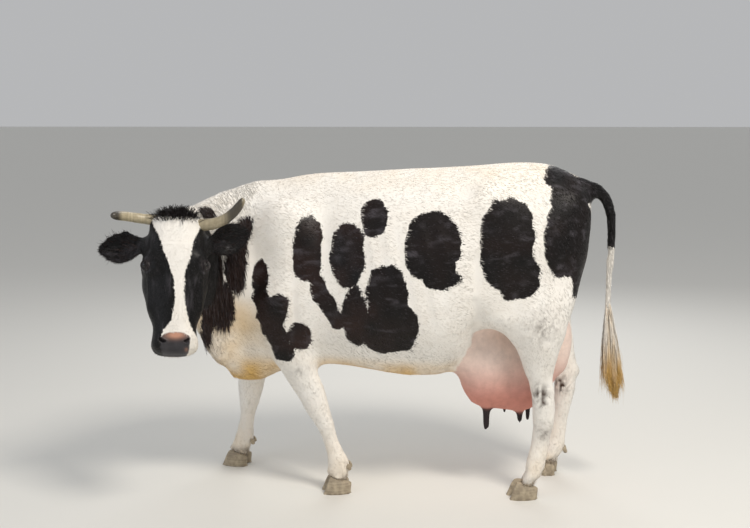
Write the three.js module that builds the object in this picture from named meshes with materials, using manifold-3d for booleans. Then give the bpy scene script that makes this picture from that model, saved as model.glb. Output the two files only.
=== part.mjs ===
// A black-and-white dairy cow, life size, standing with its head turned to its left.
// Millimetres, +Z up. The cow faces -X, its left side faces -Y, and its soles stand on Z = 0.
//
// The living body is one smooth rounded field. Each named piece is that field turned into facets
// inside its own region and parted from its neighbours by thin flat cuts. Ears, horns, eyes, teats,
// tail and claws are lofted or round solids of their own, set against the body.

import * as THREE from 'three';
import { mergeVertices } from 'three/addons/utils/BufferGeometryUtils.js';
import Module from 'manifold-3d';

const wasm = await Module();
wasm.setup();

// ---------------------------------------------------------------- driving dimensions

const GAP = 0.3;              // clear width of every cut between two pieces
const BIG = 4000;             // side of the boxes that make the cuts
const FOOTPRINT_X = 13.75;    // middle of the whole body's plan box, which becomes the origin
const FOOTPRINT_Y = -156.75;
const LEG_SPREAD = 165;       // half the distance between a left and a right foot

// The trunk and neck: one tube of upright sections along the spine. `at` is the distance along the
// spine, which runs straight down X and then curves left into the neck.
const BODY = [
  { at: -1000, top: 1258, bottom: 1000, half: 92, mid: 1130, crown: 2.0, keel: 1.8 },
  { at: -900, top: 1280, bottom: 800, half: 106, mid: 1090, crown: 1.9, keel: 1.6 },
  { at: -780, top: 1310, bottom: 575, half: 126, mid: 1040, crown: 1.8, keel: 1.4 },
  { at: -660, top: 1345, bottom: 456, half: 156, mid: 950, crown: 1.8, keel: 1.6 },
  { at: -540, top: 1380, bottom: 452, half: 190, mid: 880, crown: 1.8, keel: 1.8 },
  { at: -400, top: 1397, bottom: 512, half: 226, mid: 850, crown: 1.8, keel: 2.0 },
  { at: -240, top: 1418, bottom: 545, half: 258, mid: 860, crown: 1.8, keel: 2.1 },
  { at: -60, top: 1419, bottom: 528, half: 302, mid: 860, crown: 2.0, keel: 2.1 },
  { at: 120, top: 1428, bottom: 503, half: 335, mid: 860, crown: 2.1, keel: 2.1 },
  { at: 280, top: 1433, bottom: 500, half: 342, mid: 880, crown: 2.3, keel: 2.1 },
  { at: 370, top: 1437, bottom: 530, half: 332, mid: 910, crown: 2.5, keel: 2.1 },
  { at: 470, top: 1443, bottom: 690, half: 308, mid: 980, crown: 2.7, keel: 2.1 },
  { at: 570, top: 1453, bottom: 750, half: 280, mid: 1040, crown: 2.8, keel: 2.1 },
  { at: 690, top: 1458, bottom: 790, half: 246, mid: 1090, crown: 2.6, keel: 2.0 },
  { at: 800, top: 1428, bottom: 850, half: 200, mid: 1120, crown: 2.2, keel: 2.0 },
  { at: 900, top: 1392, bottom: 930, half: 130, mid: 1150, crown: 2.0, keel: 2.0 },
];
const RUMP_END = 922;
const NECK_END = -985;
const NECK_TURN = [[-380, 0], [-610, 0], [-738, -190], [-796, -430]];

// Each leg: level sections from the foot up. `x` and `y` place the section, `deep` and `wide` are
// its half sizes along and across the body.
const LEFT_FORE = [
  { at: 62, x: -144, y: 0, deep: 55, wide: 54 },
  { at: 95, x: -146, y: 0, deep: 50, wide: 50 },
  { at: 142, x: -150, y: 0, deep: 50, wide: 46 },
  { at: 190, x: -168, y: 0, deep: 42, wide: 37 },
  { at: 240, x: -186, y: 0, deep: 41, wide: 36 },
  { at: 287, x: -202, y: 0, deep: 45, wide: 44 },
  { at: 323, x: -217, y: 0, deep: 50, wide: 51 },
  { at: 362, x: -236, y: 0, deep: 56, wide: 52 },
  { at: 403, x: -252, y: 0, deep: 64, wide: 52 },
  { at: 475, x: -285, y: -4, deep: 77, wide: 56 },
  { at: 549, x: -320, y: -10, deep: 85, wide: 64 },
  { at: 607, x: -349, y: -16, deep: 96, wide: 72 },
  { at: 661, x: -366, y: -24, deep: 104, wide: 78 },
  { at: 760, x: -388, y: -34, deep: 110, wide: 74 },
];
const RIGHT_FORE = [
  { at: 62, x: -660, y: 0, deep: 55, wide: 54 },
  { at: 95, x: -652, y: 0, deep: 50, wide: 50 },
  { at: 130, x: -642, y: 0, deep: 48, wide: 46 },
  { at: 190, x: -633, y: 0, deep: 42, wide: 37 },
  { at: 250, x: -622, y: 0, deep: 42, wide: 37 },
  { at: 300, x: -615, y: 0, deep: 51, wide: 49 },
  { at: 338, x: -612, y: 0, deep: 57, wide: 52 },
  { at: 384, x: -609, y: 0, deep: 66, wide: 52 },
  { at: 440, x: -598, y: 2, deep: 72, wide: 55 },
  { at: 520, x: -570, y: 6, deep: 82, wide: 62 },
  { at: 600, x: -528, y: 14, deep: 96, wide: 70 },
  { at: 670, x: -490, y: 24, deep: 106, wide: 76 },
  { at: 760, x: -455, y: 34, deep: 110, wide: 74 },
];
const LEFT_HIND = [
  { at: 62, x: 676, y: 0, deep: 62, wide: 55 },
  { at: 95, x: 690, y: 0, deep: 60, wide: 50 },
  { at: 140, x: 711, y: 0, deep: 51, wide: 46 },
  { at: 205, x: 729, y: 0, deep: 45, wide: 37 },
  { at: 265, x: 737, y: 0, deep: 46, wide: 37 },
  { at: 340, x: 748, y: 0, deep: 51, wide: 44 },
  { at: 400, x: 749, y: 0, deep: 55, wide: 50 },
  { at: 450, x: 742, y: -2, deep: 54, wide: 48 },
  { at: 505, x: 727, y: -4, deep: 53, wide: 48 },
  { at: 577, x: 722, y: -8, deep: 72, wide: 60 },
  { at: 656, x: 717, y: -16, deep: 96, wide: 74 },
  { at: 720, x: 700, y: -26, deep: 126, wide: 84 },
  { at: 790, x: 680, y: -34, deep: 158, wide: 88 },
  { at: 900, x: 690, y: -30, deep: 175, wide: 92 },
];
const RIGHT_HIND = [
  { at: 62, x: 798, y: 0, deep: 62, wide: 55 },
  { at: 95, x: 810, y: 0, deep: 60, wide: 50 },
  { at: 140, x: 828, y: 0, deep: 50, wide: 46 },
  { at: 205, x: 838, y: 0, deep: 44, wide: 37 },
  { at: 290, x: 850, y: 0, deep: 46, wide: 38 },
  { at: 370, x: 862, y: 0, deep: 50, wide: 46 },
  { at: 420, x: 868, y: 0, deep: 54, wide: 50 },
  { at: 470, x: 866, y: 2, deep: 55, wide: 48 },
  { at: 525, x: 860, y: 4, deep: 60, wide: 50 },
  { at: 590, x: 838, y: 8, deep: 74, wide: 62 },
  { at: 660, x: 808, y: 16, deep: 96, wide: 76 },
  { at: 730, x: 772, y: 26, deep: 122, wide: 84 },
  { at: 800, x: 736, y: 34, deep: 150, wide: 88 },
  { at: 900, x: 716, y: 30, deep: 165, wide: 92 },
];
// `turn` toes a foot out, `joint` is the height of the knee or hock and `tilt` the lean of its cut.
const LEGS = [
  { name: 'foreleg_left', side: -1, rows: LEFT_FORE, footX: -142, turn: 14, joint: 338, tilt: 0.4 },
  { name: 'foreleg_right', side: 1, rows: RIGHT_FORE, footX: -664, turn: 8, joint: 352, tilt: -0.1 },
  { name: 'hindleg_left', side: -1, rows: LEFT_HIND, footX: 676, turn: 12, joint: 425, tilt: 0 },
  { name: 'hindleg_right', side: 1, rows: RIGHT_HIND, footX: 790, turn: 14, joint: 440, tilt: 0 },
];

// The head, in its own frame: `at` runs down the face from the poll, `front` and `back` are the
// face and the jaw line in front of and behind the poll's own level.
const HEAD_AT = [-760, -494, 1258];
const HEAD_YAW = 17;          // degrees from facing the left side round to the tail
const HEAD_TILT = 20;         // degrees that the muzzle is swung forward of hanging straight down
const HEAD_ROLL = 2.5;
const FACE = [
  { at: -22, front: -38, back: -120, half: 54, mid: -80, brow: 2.2, jaw: 2.0 },
  { at: 5, front: -14, back: -160, half: 88, mid: -72, brow: 2.3, jaw: 2.0 },
  { at: 35, front: -2, back: -180, half: 102, mid: -72, brow: 2.5, jaw: 2.0 },
  { at: 85, front: 4, back: -205, half: 108, mid: -78, brow: 2.6, jaw: 2.0 },
  { at: 140, front: 6, back: -232, half: 114, mid: -84, brow: 2.6, jaw: 2.0 },
  { at: 200, front: 2, back: -252, half: 117, mid: -96, brow: 2.4, jaw: 2.1 },
  { at: 260, front: -6, back: -252, half: 117, mid: -118, brow: 2.0, jaw: 2.2 },
  { at: 330, front: -10, back: -220, half: 107, mid: -118, brow: 1.9, jaw: 2.2 },
  { at: 385, front: -15, back: -190, half: 96, mid: -108, brow: 1.9, jaw: 2.2 },
  { at: 435, front: -22, back: -174, half: 86, mid: -98, brow: 2.0, jaw: 2.3 },
  { at: 475, front: -26, back: -168, half: 86, mid: -94, brow: 2.3, jaw: 2.4 },
  { at: 510, front: -34, back: -166, half: 94, mid: -92, brow: 2.5, jaw: 2.5 },
  { at: 540, front: -54, back: -152, half: 89, mid: -96, brow: 2.4, jaw: 2.4 },
  { at: 562, front: -78, back: -132, half: 64, mid: -102, brow: 2.2, jaw: 2.2 },
];
const EYE = { radius: 20, side: 114, at: 200, front: -50 };
const RIGHT_HORN = [
  { at: [-92, 6, -62], r: 21 }, { at: [-134, 6, -58], r: 20 }, { at: [-172, 4, -44], r: 19 },
  { at: [-204, 6, -22], r: 18.5 }, { at: [-230, 12, 6], r: 17.5 }, { at: [-243, 17, 26], r: 14 },
  { at: [-249, 20, 36], r: 7 },
];
const LEFT_HORN = [
  { at: [92, 30, -62], r: 22 }, { at: [134, 27, -56], r: 21 }, { at: [176, 16, -42], r: 20 },
  { at: [212, -2, -26], r: 18.5 }, { at: [241, -28, -10], r: 16 }, { at: [259, -54, 0], r: 13 },
  { at: [267, -70, 4], r: 7 },
];
// An ear from its root out: how wide, how deeply cupped and how thick it is.
const EAR = [
  { at: 0, half: 28, cup: 0, thick: 44 },
  { at: 36, half: 32, cup: 8, thick: 32 },
  { at: 64, half: 50, cup: 26, thick: 13 },
  { at: 104, half: 65, cup: 36, thick: 9 },
  { at: 146, half: 62, cup: 30, thick: 8 },
  { at: 182, half: 44, cup: 17, thick: 7 },
  { at: 206, half: 22, cup: 6, thick: 6 },
  { at: 216, half: 8, cup: 1, thick: 5 },
];
// Each ear's root, the way it points and how far its hollow turns up from facing forward.
const EARS = [
  { name: 'ear_right', root: [-108, 108, -96], way: [-1, 0.03, -0.28], roll: -8 },
  { name: 'ear_left', root: [110, 112, -96], way: [1, -0.36, -0.18], roll: -24 },
];

// The tail hangs straight from the rump; each row is a centre and a half width.
const TAIL = [
  { x: 905, z: 1354, r: 32 },
  { x: 960, z: 1338, r: 33 },
  { x: 1004, z: 1300, r: 28 },
  { x: 1028, z: 1240, r: 25 },
  { x: 1037, z: 1150, r: 22 },
  { x: 1036, z: 1060, r: 20 },
  { x: 1032, z: 940, r: 18 },
  { x: 1031, z: 820, r: 17 },
  { x: 1040, z: 720, r: 20 },
  { x: 1050, z: 640, r: 30 },
  { x: 1060, z: 550, r: 44 },
  { x: 1068, z: 480, r: 54 },
  { x: 1076, z: 430, r: 52 },
  { x: 1086, z: 385, r: 38 },
  { x: 1094, z: 350, r: 18 },
];
const TAIL_PARTS = [1090, 700];

// ---------------------------------------------------------------- small maths

// A smooth curve through a table's rows that never overshoots them (monotone cubic).
function through(rows, key) {
  const xs = rows.map((row) => row.at);
  const ys = rows.map((row) => row[key]);
  const steps = xs.slice(1).map((x, i) => (ys[i + 1] - ys[i]) / (x - xs[i]));
  const slopes = xs.map((x, i) => {
    if (i === 0) return steps[0];
    if (i === xs.length - 1) return steps[i - 1];
    if (steps[i - 1] * steps[i] <= 0) return 0;
    return (2 * steps[i - 1] * steps[i]) / (steps[i - 1] + steps[i]);
  });
  return (x) => {
    if (x <= xs[0]) return ys[0];
    if (x >= xs[xs.length - 1]) return ys[ys.length - 1];
    let i = 0;
    while (x > xs[i + 1]) i += 1;
    const span = xs[i + 1] - xs[i];
    const t = (x - xs[i]) / span;
    const rise = t * t * (3 - 2 * t);
    const leave = t * (1 - t) * (1 - t);
    const arrive = t * t * (t - 1);
    return ys[i] * (1 - rise) + ys[i + 1] * rise + span * (slopes[i] * leave + slopes[i + 1] * arrive);
  };
}

function table(rows) {
  const keys = Object.keys(rows[0]).filter((key) => key !== 'at');
  const curves = keys.map((key) => [key, through(rows, key)]);
  return (x) => Object.fromEntries(curves.map(([key, curve]) => [key, curve(x)]));
}

// Joins two distances with a soft fillet about `soft` wide, and the same for a shared part.
function blend(a, b, soft) {
  const h = Math.max(soft - Math.abs(a - b), 0) / soft;
  return Math.min(a, b) - (h * h * soft) / 4;
}

function meet(a, b, soft) {
  return -blend(-a, -b, soft);
}

// Distance to an oval section with its own roundness above and below its widest level.
function oval(side, rise, half, up, down, crown, keel) {
  const height = rise > 0 ? up : down;
  const power = rise > 0 ? crown : keel;
  const ratio = (Math.abs(side / half) ** power + Math.abs(rise / height) ** power) ** (1 / power);
  if (ratio < 0.01) return -Math.min(half, height);
  return Math.hypot(side, rise) * (1 - 1 / ratio);
}

// Distance to an ellipsoid at `c` with half sizes `r`, leaning by `lean` degrees in the X-Z plane.
function egg(p, c, r, lean = 0) {
  const turn = THREE.MathUtils.degToRad(lean);
  const dx = p[0] - c[0];
  const dz = p[2] - c[2];
  const x = (dx * Math.cos(turn) - dz * Math.sin(turn)) / r[0];
  const y = (p[1] - c[1]) / r[1];
  const z = (dx * Math.sin(turn) + dz * Math.cos(turn)) / r[2];
  const k = Math.hypot(x, y, z);
  const g = Math.hypot(x / r[0], y / r[1], z / r[2]);
  return g < 1e-9 ? -Math.min(...r) : (k * (k - 1)) / g;
}

// Distance to a tapered round bar from `a` to `b`.
function bar(p, a, b, ra, rb) {
  const d = [b[0] - a[0], b[1] - a[1], b[2] - a[2]];
  const q = [p[0] - a[0], p[1] - a[1], p[2] - a[2]];
  const t = (q[0] * d[0] + q[1] * d[1] + q[2] * d[2]) / (d[0] ** 2 + d[1] ** 2 + d[2] ** 2);
  const s = Math.min(1, Math.max(0, t));
  return Math.hypot(q[0] - d[0] * s, q[1] - d[1] * s, q[2] - d[2] * s) - ra - (rb - ra) * s;
}

// ---------------------------------------------------------------- the body's field

const bodyAt = table(BODY);
const spine = new THREE.CubicBezierCurve(...NECK_TURN.map(([x, y]) => new THREE.Vector2(x, y)));
const spineSteps = spine.getSpacedPoints(48);
const spineLength = spine.getLength();

// How far along the spine a point lies, and how far to its side.
function alongSpine(x, y) {
  if (x >= NECK_TURN[0][0]) return { at: x, side: y };
  let best = { far: Infinity };
  for (let i = 0; i < spineSteps.length - 1; i += 1) {
    const a = spineSteps[i];
    const b = spineSteps[i + 1];
    const last = i === spineSteps.length - 2;
    const dx = b.x - a.x;
    const dy = b.y - a.y;
    const raw = ((x - a.x) * dx + (y - a.y) * dy) / (dx * dx + dy * dy);
    const t = Math.min(last ? 9 : 1, Math.max(0, raw));
    const ox = x - a.x - dx * t;
    const oy = y - a.y - dy * t;
    const far = Math.hypot(ox, oy);
    if (far < best.far) best = { far, t: i + t, side: far * Math.sign(oy * -dx + ox * dy) };
  }
  const at = NECK_TURN[0][0] - (best.t / (spineSteps.length - 1)) * spineLength;
  return { at, side: best.side };
}

function torso(p) {
  const { at, side } = alongSpine(p[0], p[1]);
  const s = bodyAt(at);
  let d = oval(side, p[2] - s.mid, s.half, s.top - s.mid, s.mid - s.bottom, s.crown, s.keel);
  d = meet(d, at - RUMP_END, 90);
  return meet(d, NECK_END - at, 40);
}

const legTables = LEGS.map((leg) => table(leg.rows));

function limb(p, leg, shape) {
  if (p[1] * leg.side < -60) return 400;
  const s = shape(p[2]);
  const y = leg.side * LEG_SPREAD + s.y;
  const d = oval(p[1] - y, p[0] - s.x, s.wide, s.deep, s.deep, 2.1, 2.1);
  return meet(d, p[2] - leg.rows[leg.rows.length - 1].at, 60);
}

// Muscle masses and bony points that give each side of the trunk its form.
function flank(p, side, shift) {
  const q = [p[0], p[1] * side, p[2]];
  let d = egg(q, [-345 + shift * 0.3, 172, 1070], [128, 72, 270], -20);
  d = blend(d, egg(q, [-482 + shift * 0.5, 176, 815], [105, 72, 110], 20), 80);
  d = blend(d, egg(q, [-358 + shift * 0.4, 194, 830], [125, 74, 150], -15), 80);
  d = blend(d, egg(q, [690, 150, 1040], [205, 120, 270], 8), 60);
  d = blend(d, bar(q, [868, 92, 1230], [770 + shift * -0.3, 160, 780], 74, 84), 60);
  d = blend(d, bar(q, [560, 190, 1100], [555, 208, 830], 88, 78), 60);
  d = blend(d, bar(q, [448, 252, 1312], [520, 215, 1270], 34, 60), 50);
  return blend(d, bar(q, [905, 88, 1318], [860, 100, 1290], 40, 62), 50);
}

const headFrame = new THREE.Matrix4().makeTranslation(...HEAD_AT)
  .multiply(new THREE.Matrix4().makeRotationZ(THREE.MathUtils.degToRad(HEAD_YAW)))
  .multiply(new THREE.Matrix4().makeRotationX(THREE.MathUtils.degToRad(90 - HEAD_TILT)))
  .multiply(new THREE.Matrix4().makeRotationZ(THREE.MathUtils.degToRad(-HEAD_ROLL)))
  .multiply(new THREE.Matrix4().makeScale(1, -1, 1));
const headInverse = headFrame.clone().invert();
const faceAt = table(FACE);

// A world point in the head's frame: side (the cow's left positive), down the face, out of the face.
function toHead(p) {
  return new THREE.Vector3(...p).applyMatrix4(headInverse).toArray();
}

function skull(h) {
  const s = faceAt(h[1]);
  let d = oval(h[0], h[2] - s.mid, s.half, s.front - s.mid, s.mid - s.back, s.brow, s.jaw);
  d = meet(d, -24 - h[1], 30);
  d = meet(d, h[1] - 562, 30);
  const q = [Math.abs(h[0]), h[1], h[2]];
  d = blend(d, egg(q, [99, 194, -54], [34, 46, 44]), 26);
  d = blend(d, egg(q, [76, 252, -164], [38, 78, 74]), 40);
  d = blend(d, bar(q, [0, -8, -48], [64, 14, -62], 26, 26), 30);
  d = blend(d, bar(q, [76, 20, -66], [106, 18, -62], 27, 23), 20);
  d = blend(d, bar(q, [92, 104, -94], [118, 108, -100], 34, 30), 30);
  d = blend(d, egg(q, [46, 515, -72], [42, 38, 38]), 24);
  return blend(d, egg(q, [0, 520, -140], [60, 36, 30]), 26);
}

function udderField(p) {
  const q = [p[0], Math.abs(p[1]), p[2]];
  let d = egg(q, [492, 72, 560], [120, 98, 195], 0);
  d = blend(d, egg(q, [600, 50, 530], [120, 62, 186], 0), 40);
  d = blend(d, egg(q, [690, 40, 560], [120, 52, 212], 0), 40);
  return blend(d, egg(q, [782, 38, 690], [108, 54, 190], -14), 40);
}

function fleshAlone(p) {
  let d = torso(p);
  d = blend(d, flank(p, -1, 0), 70);
  d = blend(d, flank(p, 1, -110), 70);
  LEGS.forEach((leg, i) => {
    d = blend(d, limb(p, leg, legTables[i]), 46);
  });
  d = blend(d, bar(p, [796, -LEG_SPREAD - 3, 470], [752, -LEG_SPREAD - 8, 560], 17, 22), 26);
  d = blend(d, bar(p, [918, LEG_SPREAD + 3, 496], [880, LEG_SPREAD + 8, 570], 17, 22), 26);
  d = blend(d, bar(p, [800, 0, 1392], [935, 0, 1346], 48, 36), 50);
  return p[0] > -350 || p[1] > 0 ? d : blend(d, skull(toHead(p)), 40);
}

function fleshWithUdder(p) {
  return blend(fleshAlone(p), udderField(p), 16);
}

// ---------------------------------------------------------------- facets of a field

// Facets a field inside a box with surface nets: one vertex in each grid cell that the surface
// crosses, one quad for each grid edge that it crosses. `frame` places the grid in the world.
function facet(field, frame, low, high, cell) {
  const count = low.map((v, i) => Math.ceil((high[i] - v) / cell[i]) + 3);
  const start = low.map((v, i) => (low[i] + high[i] - (count[i] - 1) * cell[i]) / 2);
  const place = (i, j, k) => new THREE.Vector3(
    start[0] + i * cell[0], start[1] + j * cell[1], start[2] + k * cell[2]);
  const index = (i, j, k) => (k * count[1] + j) * count[0] + i;
  const values = new Float64Array(count[0] * count[1] * count[2]);
  for (let k = 0; k < count[2]; k += 1) {
    for (let j = 0; j < count[1]; j += 1) {
      for (let i = 0; i < count[0]; i += 1) {
        const local = place(i, j, k);
        const beyond = Math.max(...local.toArray().map((v, a) => Math.max(low[a] - v, v - high[a])));
        values[index(i, j, k)] = Math.max(field(local.applyMatrix4(frame).toArray()), beyond) || 1e-6;
      }
    }
  }
  const corners = [];
  for (let c = 0; c < 8; c += 1) corners.push([c & 1, (c >> 1) & 1, (c >> 2) & 1]);
  const points = [];
  const owner = new Map();
  for (let k = 0; k < count[2] - 1; k += 1) {
    for (let j = 0; j < count[1] - 1; j += 1) {
      for (let i = 0; i < count[0] - 1; i += 1) {
        const crossing = new THREE.Vector3();
        let crossings = 0;
        for (let a = 0; a < 8; a += 1) {
          for (let axis = 0; axis < 3; axis += 1) {
            if (corners[a][axis] === 1) continue;
            const b = a + (1 << axis);
            const [ai, aj, ak] = corners[a];
            const [bi, bj, bk] = corners[b];
            const va = values[index(i + ai, j + aj, k + ak)];
            const vb = values[index(i + bi, j + bj, k + bk)];
            if (va < 0 === vb < 0) continue;
            const from = place(i + ai, j + aj, k + ak);
            crossing.add(from.lerp(place(i + bi, j + bj, k + bk), va / (va - vb)));
            crossings += 1;
          }
        }
        if (crossings === 0) continue;
        owner.set(index(i, j, k), points.length);
        points.push(crossing.divideScalar(crossings).applyMatrix4(frame));
      }
    }
  }
  const quads = [];
  const turns = [[1, 2], [2, 0], [0, 1]];
  for (let k = 1; k < count[2] - 1; k += 1) {
    for (let j = 1; j < count[1] - 1; j += 1) {
      for (let i = 1; i < count[0] - 1; i += 1) {
        const here = values[index(i, j, k)] < 0;
        for (let axis = 0; axis < 3; axis += 1) {
          const next = [i, j, k];
          next[axis] += 1;
          const there = values[index(...next)] < 0;
          if (here === there) continue;
          const [u, v] = turns[axis];
          const ring = [[0, 0], [1, 0], [1, 1], [0, 1]].map(([du, dv]) => {
            const spot = [i, j, k];
            spot[u] -= du;
            spot[v] -= dv;
            return owner.get(index(...spot));
          });
          quads.push(here ? ring : ring.reverse());
        }
      }
    }
  }
  if (frame.determinant() < 0) quads.forEach((quad) => quad.reverse());
  settle(points, quads, field, Math.min(...cell));
  return { points, quads };
}

function slope(field, p, step = 1) {
  const v = p.toArray();
  const grad = [0, 1, 2].map((a) => {
    const ahead = [...v];
    const behind = [...v];
    ahead[a] += step;
    behind[a] -= step;
    return (field(ahead) - field(behind)) / (2 * step);
  });
  return new THREE.Vector3(...grad);
}

// Evens the facets out along the surface, then brings every vertex back onto it.
function settle(points, quads, field, cell) {
  const near = points.map(() => new Set());
  quads.forEach((quad) => quad.forEach((v, i) => {
    near[v].add(quad[(i + 1) % 4]);
    near[v].add(quad[(i + 3) % 4]);
  }));
  const free = points.map((p) => Math.abs(field(p.toArray())) < cell * 0.6);
  for (let round = 0; round < 4; round += 1) {
    const means = points.map((p, i) => {
      const mean = new THREE.Vector3();
      near[i].forEach((n) => mean.add(points[n]));
      return mean.divideScalar(near[i].size);
    });
    points.forEach((p, i) => {
      if (!free[i]) return;
      p.lerp(means[i], round < 3 ? 0.5 : 0);
      for (let pass = 0; pass < 3; pass += 1) {
        const grad = slope(field, p);
        const size = Math.max(grad.lengthSq(), 0.2);
        const move = grad.multiplyScalar(-field(p.toArray()) / size).clampLength(0, cell);
        p.add(move);
      }
    });
  }
}

// ---------------------------------------------------------------- solids

function solidOf(geometry) {
  const bare = geometry.clone();
  bare.deleteAttribute('normal');
  bare.deleteAttribute('uv');
  const merged = mergeVertices(bare, 1e-3);
  return new wasm.Manifold(new wasm.Mesh({
    numProp: 3,
    vertProperties: new Float32Array(merged.attributes.position.array),
    triVerts: new Uint32Array(merged.index.array),
  }));
}

function geometryOf(solid) {
  const mesh = solid.getMesh();
  const geometry = new THREE.BufferGeometry();
  const spots = new Float32Array(mesh.vertProperties);
  geometry.setAttribute('position', new THREE.BufferAttribute(spots, 3));
  geometry.setIndex(new THREE.BufferAttribute(new Uint32Array(mesh.triVerts), 1));
  return geometry;
}

function geometryFrom(points, quads) {
  const positions = points.flatMap((p) => p.toArray());
  const faces = [];
  quads.forEach((ring) => {
    if (ring.length === 3) {
      faces.push(...ring);
      return;
    }
    const [a, b, c, d] = ring;
    const short = points[a].distanceTo(points[c]) < points[b].distanceTo(points[d]);
    faces.push(...(short ? [a, b, c, a, c, d] : [b, c, d, b, d, a]));
  });
  const geometry = new THREE.BufferGeometry();
  geometry.setAttribute('position', new THREE.Float32BufferAttribute(positions, 3));
  geometry.setIndex(faces);
  return geometry;
}

function fieldSolid(field, frame, low, high, cell) {
  const { points, quads } = facet(field, frame, low, high, cell);
  return solidOf(geometryFrom(points, quads));
}

// A closed skin over rings of equally many points, with a fan at each end.
function loft(rings) {
  const size = rings[0].length;
  const points = rings.flat();
  const faces = [];
  for (let r = 0; r < rings.length - 1; r += 1) {
    for (let i = 0; i < size; i += 1) {
      const j = (i + 1) % size;
      faces.push([r * size + i, r * size + j, (r + 1) * size + j, (r + 1) * size + i]);
    }
  }
  [0, rings.length - 1].forEach((r) => {
    const hub = points.length;
    const middle = new THREE.Vector3();
    rings[r].forEach((p) => middle.add(p));
    points.push(middle.divideScalar(size));
    for (let i = 0; i < size; i += 1) {
      const j = (i + 1) % size;
      faces.push(r === 0 ? [hub, r * size + j, r * size + i] : [hub, r * size + i, r * size + j]);
    }
  });
  const inside = solidOf(geometryFrom(points, faces)).volume() < 0;
  const outward = inside ? faces.map((face) => [...face].reverse()) : faces;
  return geometryFrom(points, outward);
}

// A round bar with `sides` faces that follows `spots`, each a centre with a half width.
function barSolid(spots, sides) {
  const middles = spots.map((spot) => new THREE.Vector3(...spot.at));
  const curve = new THREE.CatmullRomCurve3(middles, false, 'centripetal');
  const rings = spots.map((spot, i) => {
    const t = i / (spots.length - 1);
    const along = curve.getTangent(t);
    const across = new THREE.Vector3(0, 1, 0).cross(along).normalize();
    const other = along.clone().cross(across).normalize();
    const ring = [];
    for (let s = 0; s < sides; s += 1) {
      const turn = (2 * Math.PI * s) / sides;
      ring.push(new THREE.Vector3(...spot.at)
        .addScaledVector(across, Math.cos(turn) * spot.r)
        .addScaledVector(other, Math.sin(turn) * spot.r));
    }
    return ring;
  });
  return solidOf(loft(rings));
}

// A box-shaped region: its size, middle and turn, made larger all round by `grow`.
function block(size, middle, turn = [0, 0, 0], grow = 0) {
  const geometry = new THREE.BoxGeometry(size[0] + 2 * grow, size[1] + 2 * grow, size[2] + 2 * grow);
  const radians = turn.map((v) => THREE.MathUtils.degToRad(v));
  geometry.applyMatrix4(new THREE.Matrix4().makeRotationFromEuler(new THREE.Euler(...radians)));
  geometry.translate(...middle);
  return solidOf(geometry);
}

// Everything on the side of a plane that `normal` points to, less half a gap.
function beyond(point, normal, gap = GAP / 2) {
  const n = new THREE.Vector3(...normal).normalize();
  const geometry = new THREE.BoxGeometry(BIG, BIG, BIG);
  const turn = new THREE.Quaternion().setFromUnitVectors(new THREE.Vector3(0, 0, 1), n);
  geometry.applyQuaternion(turn);
  const middle = new THREE.Vector3(...point).addScaledVector(n, BIG / 2 + gap);
  geometry.translate(...middle.toArray());
  return solidOf(geometry);
}

// The same mesh with every vertex pushed out along its normal, to cut a neighbour clear of it.
function grown(solid, by) {
  const smooth = mergeVertices(geometryOf(solid), 1e-3);
  smooth.computeVertexNormals();
  const spots = smooth.attributes.position;
  const normals = smooth.attributes.normal;
  for (let i = 0; i < spots.count; i += 1) {
    spots.setXYZ(i,
      spots.getX(i) + normals.getX(i) * by,
      spots.getY(i) + normals.getY(i) * by,
      spots.getZ(i) + normals.getZ(i) * by);
  }
  return solidOf(smooth);
}

function largest(solid) {
  return solid.decompose().sort((a, b) => b.volume() - a.volume())[0];
}

// ---------------------------------------------------------------- materials

function finish(color, roughness) {
  return new THREE.MeshStandardMaterial({ color, roughness, metalness: 0 });
}

const whiteHair = finish(0xe9e2d6, 0.85);
const blackHair = finish(0x1d191b, 0.7);
const udderSkin = finish(0xd59a88, 0.6);
const teatSkin = finish(0x2b2223, 0.6);
const hornSheath = finish(0x9a9178, 0.45);
const clawHorn = finish(0x6b5f50, 0.6);
const eyeDark = finish(0x120d0c, 0.05);
const switchHair = finish(0xd9a450, 0.8);

// ---------------------------------------------------------------- the pieces

const cow = new THREE.Group();
cow.position.set(-FOOTPRINT_X, -FOOTPRINT_Y, 0);

function addPiece(name, solid, material) {
  const piece = new THREE.Mesh(geometryOf(solid), material);
  piece.name = name;
  cow.add(piece);
}

const level = new THREE.Matrix4();
const CORONET = 66;           // height of the hoof's top at the middle of the foot
const CORONET_DROP = 0.3;     // how steeply it falls from the toe to the heel
const DEWCLAW_AT = 118;       // height of the dewclaws behind the fetlock

// The udder's own region: behind the belly, under the groin, and between the thighs.
const THIGH_FRONTS = [
  { side: -1, end: 676, point: [656, 0, 560], normal: [-0.87, 0, -0.49] },
  { side: 1, end: 780, point: [752, 0, 590], normal: [-0.76, 0, -0.65] },
];
const UDDER_TOP = { point: [470, 0, 742], normal: [0.16, 0, -1] };
function udderRegion(gap) {
  const between = block([900, 196, 900], [760, 0, 450], [0, 0, 0], -gap);
  const start = 272;
  const ahead = THIGH_FRONTS.map(({ side, end, point, normal }) => block(
    [end - start, 220, 900], [(start + end) / 2, side * 110, 450], [0, 0, 0], -gap)
    .intersect(beyond(point, normal, gap)));
  return between.add(ahead[0]).add(ahead[1])
    .intersect(beyond([350, 0, 480], [0.93, 0, -0.37], gap))
    .intersect(beyond(UDDER_TOP.point, UDDER_TOP.normal, gap));
}

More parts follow.
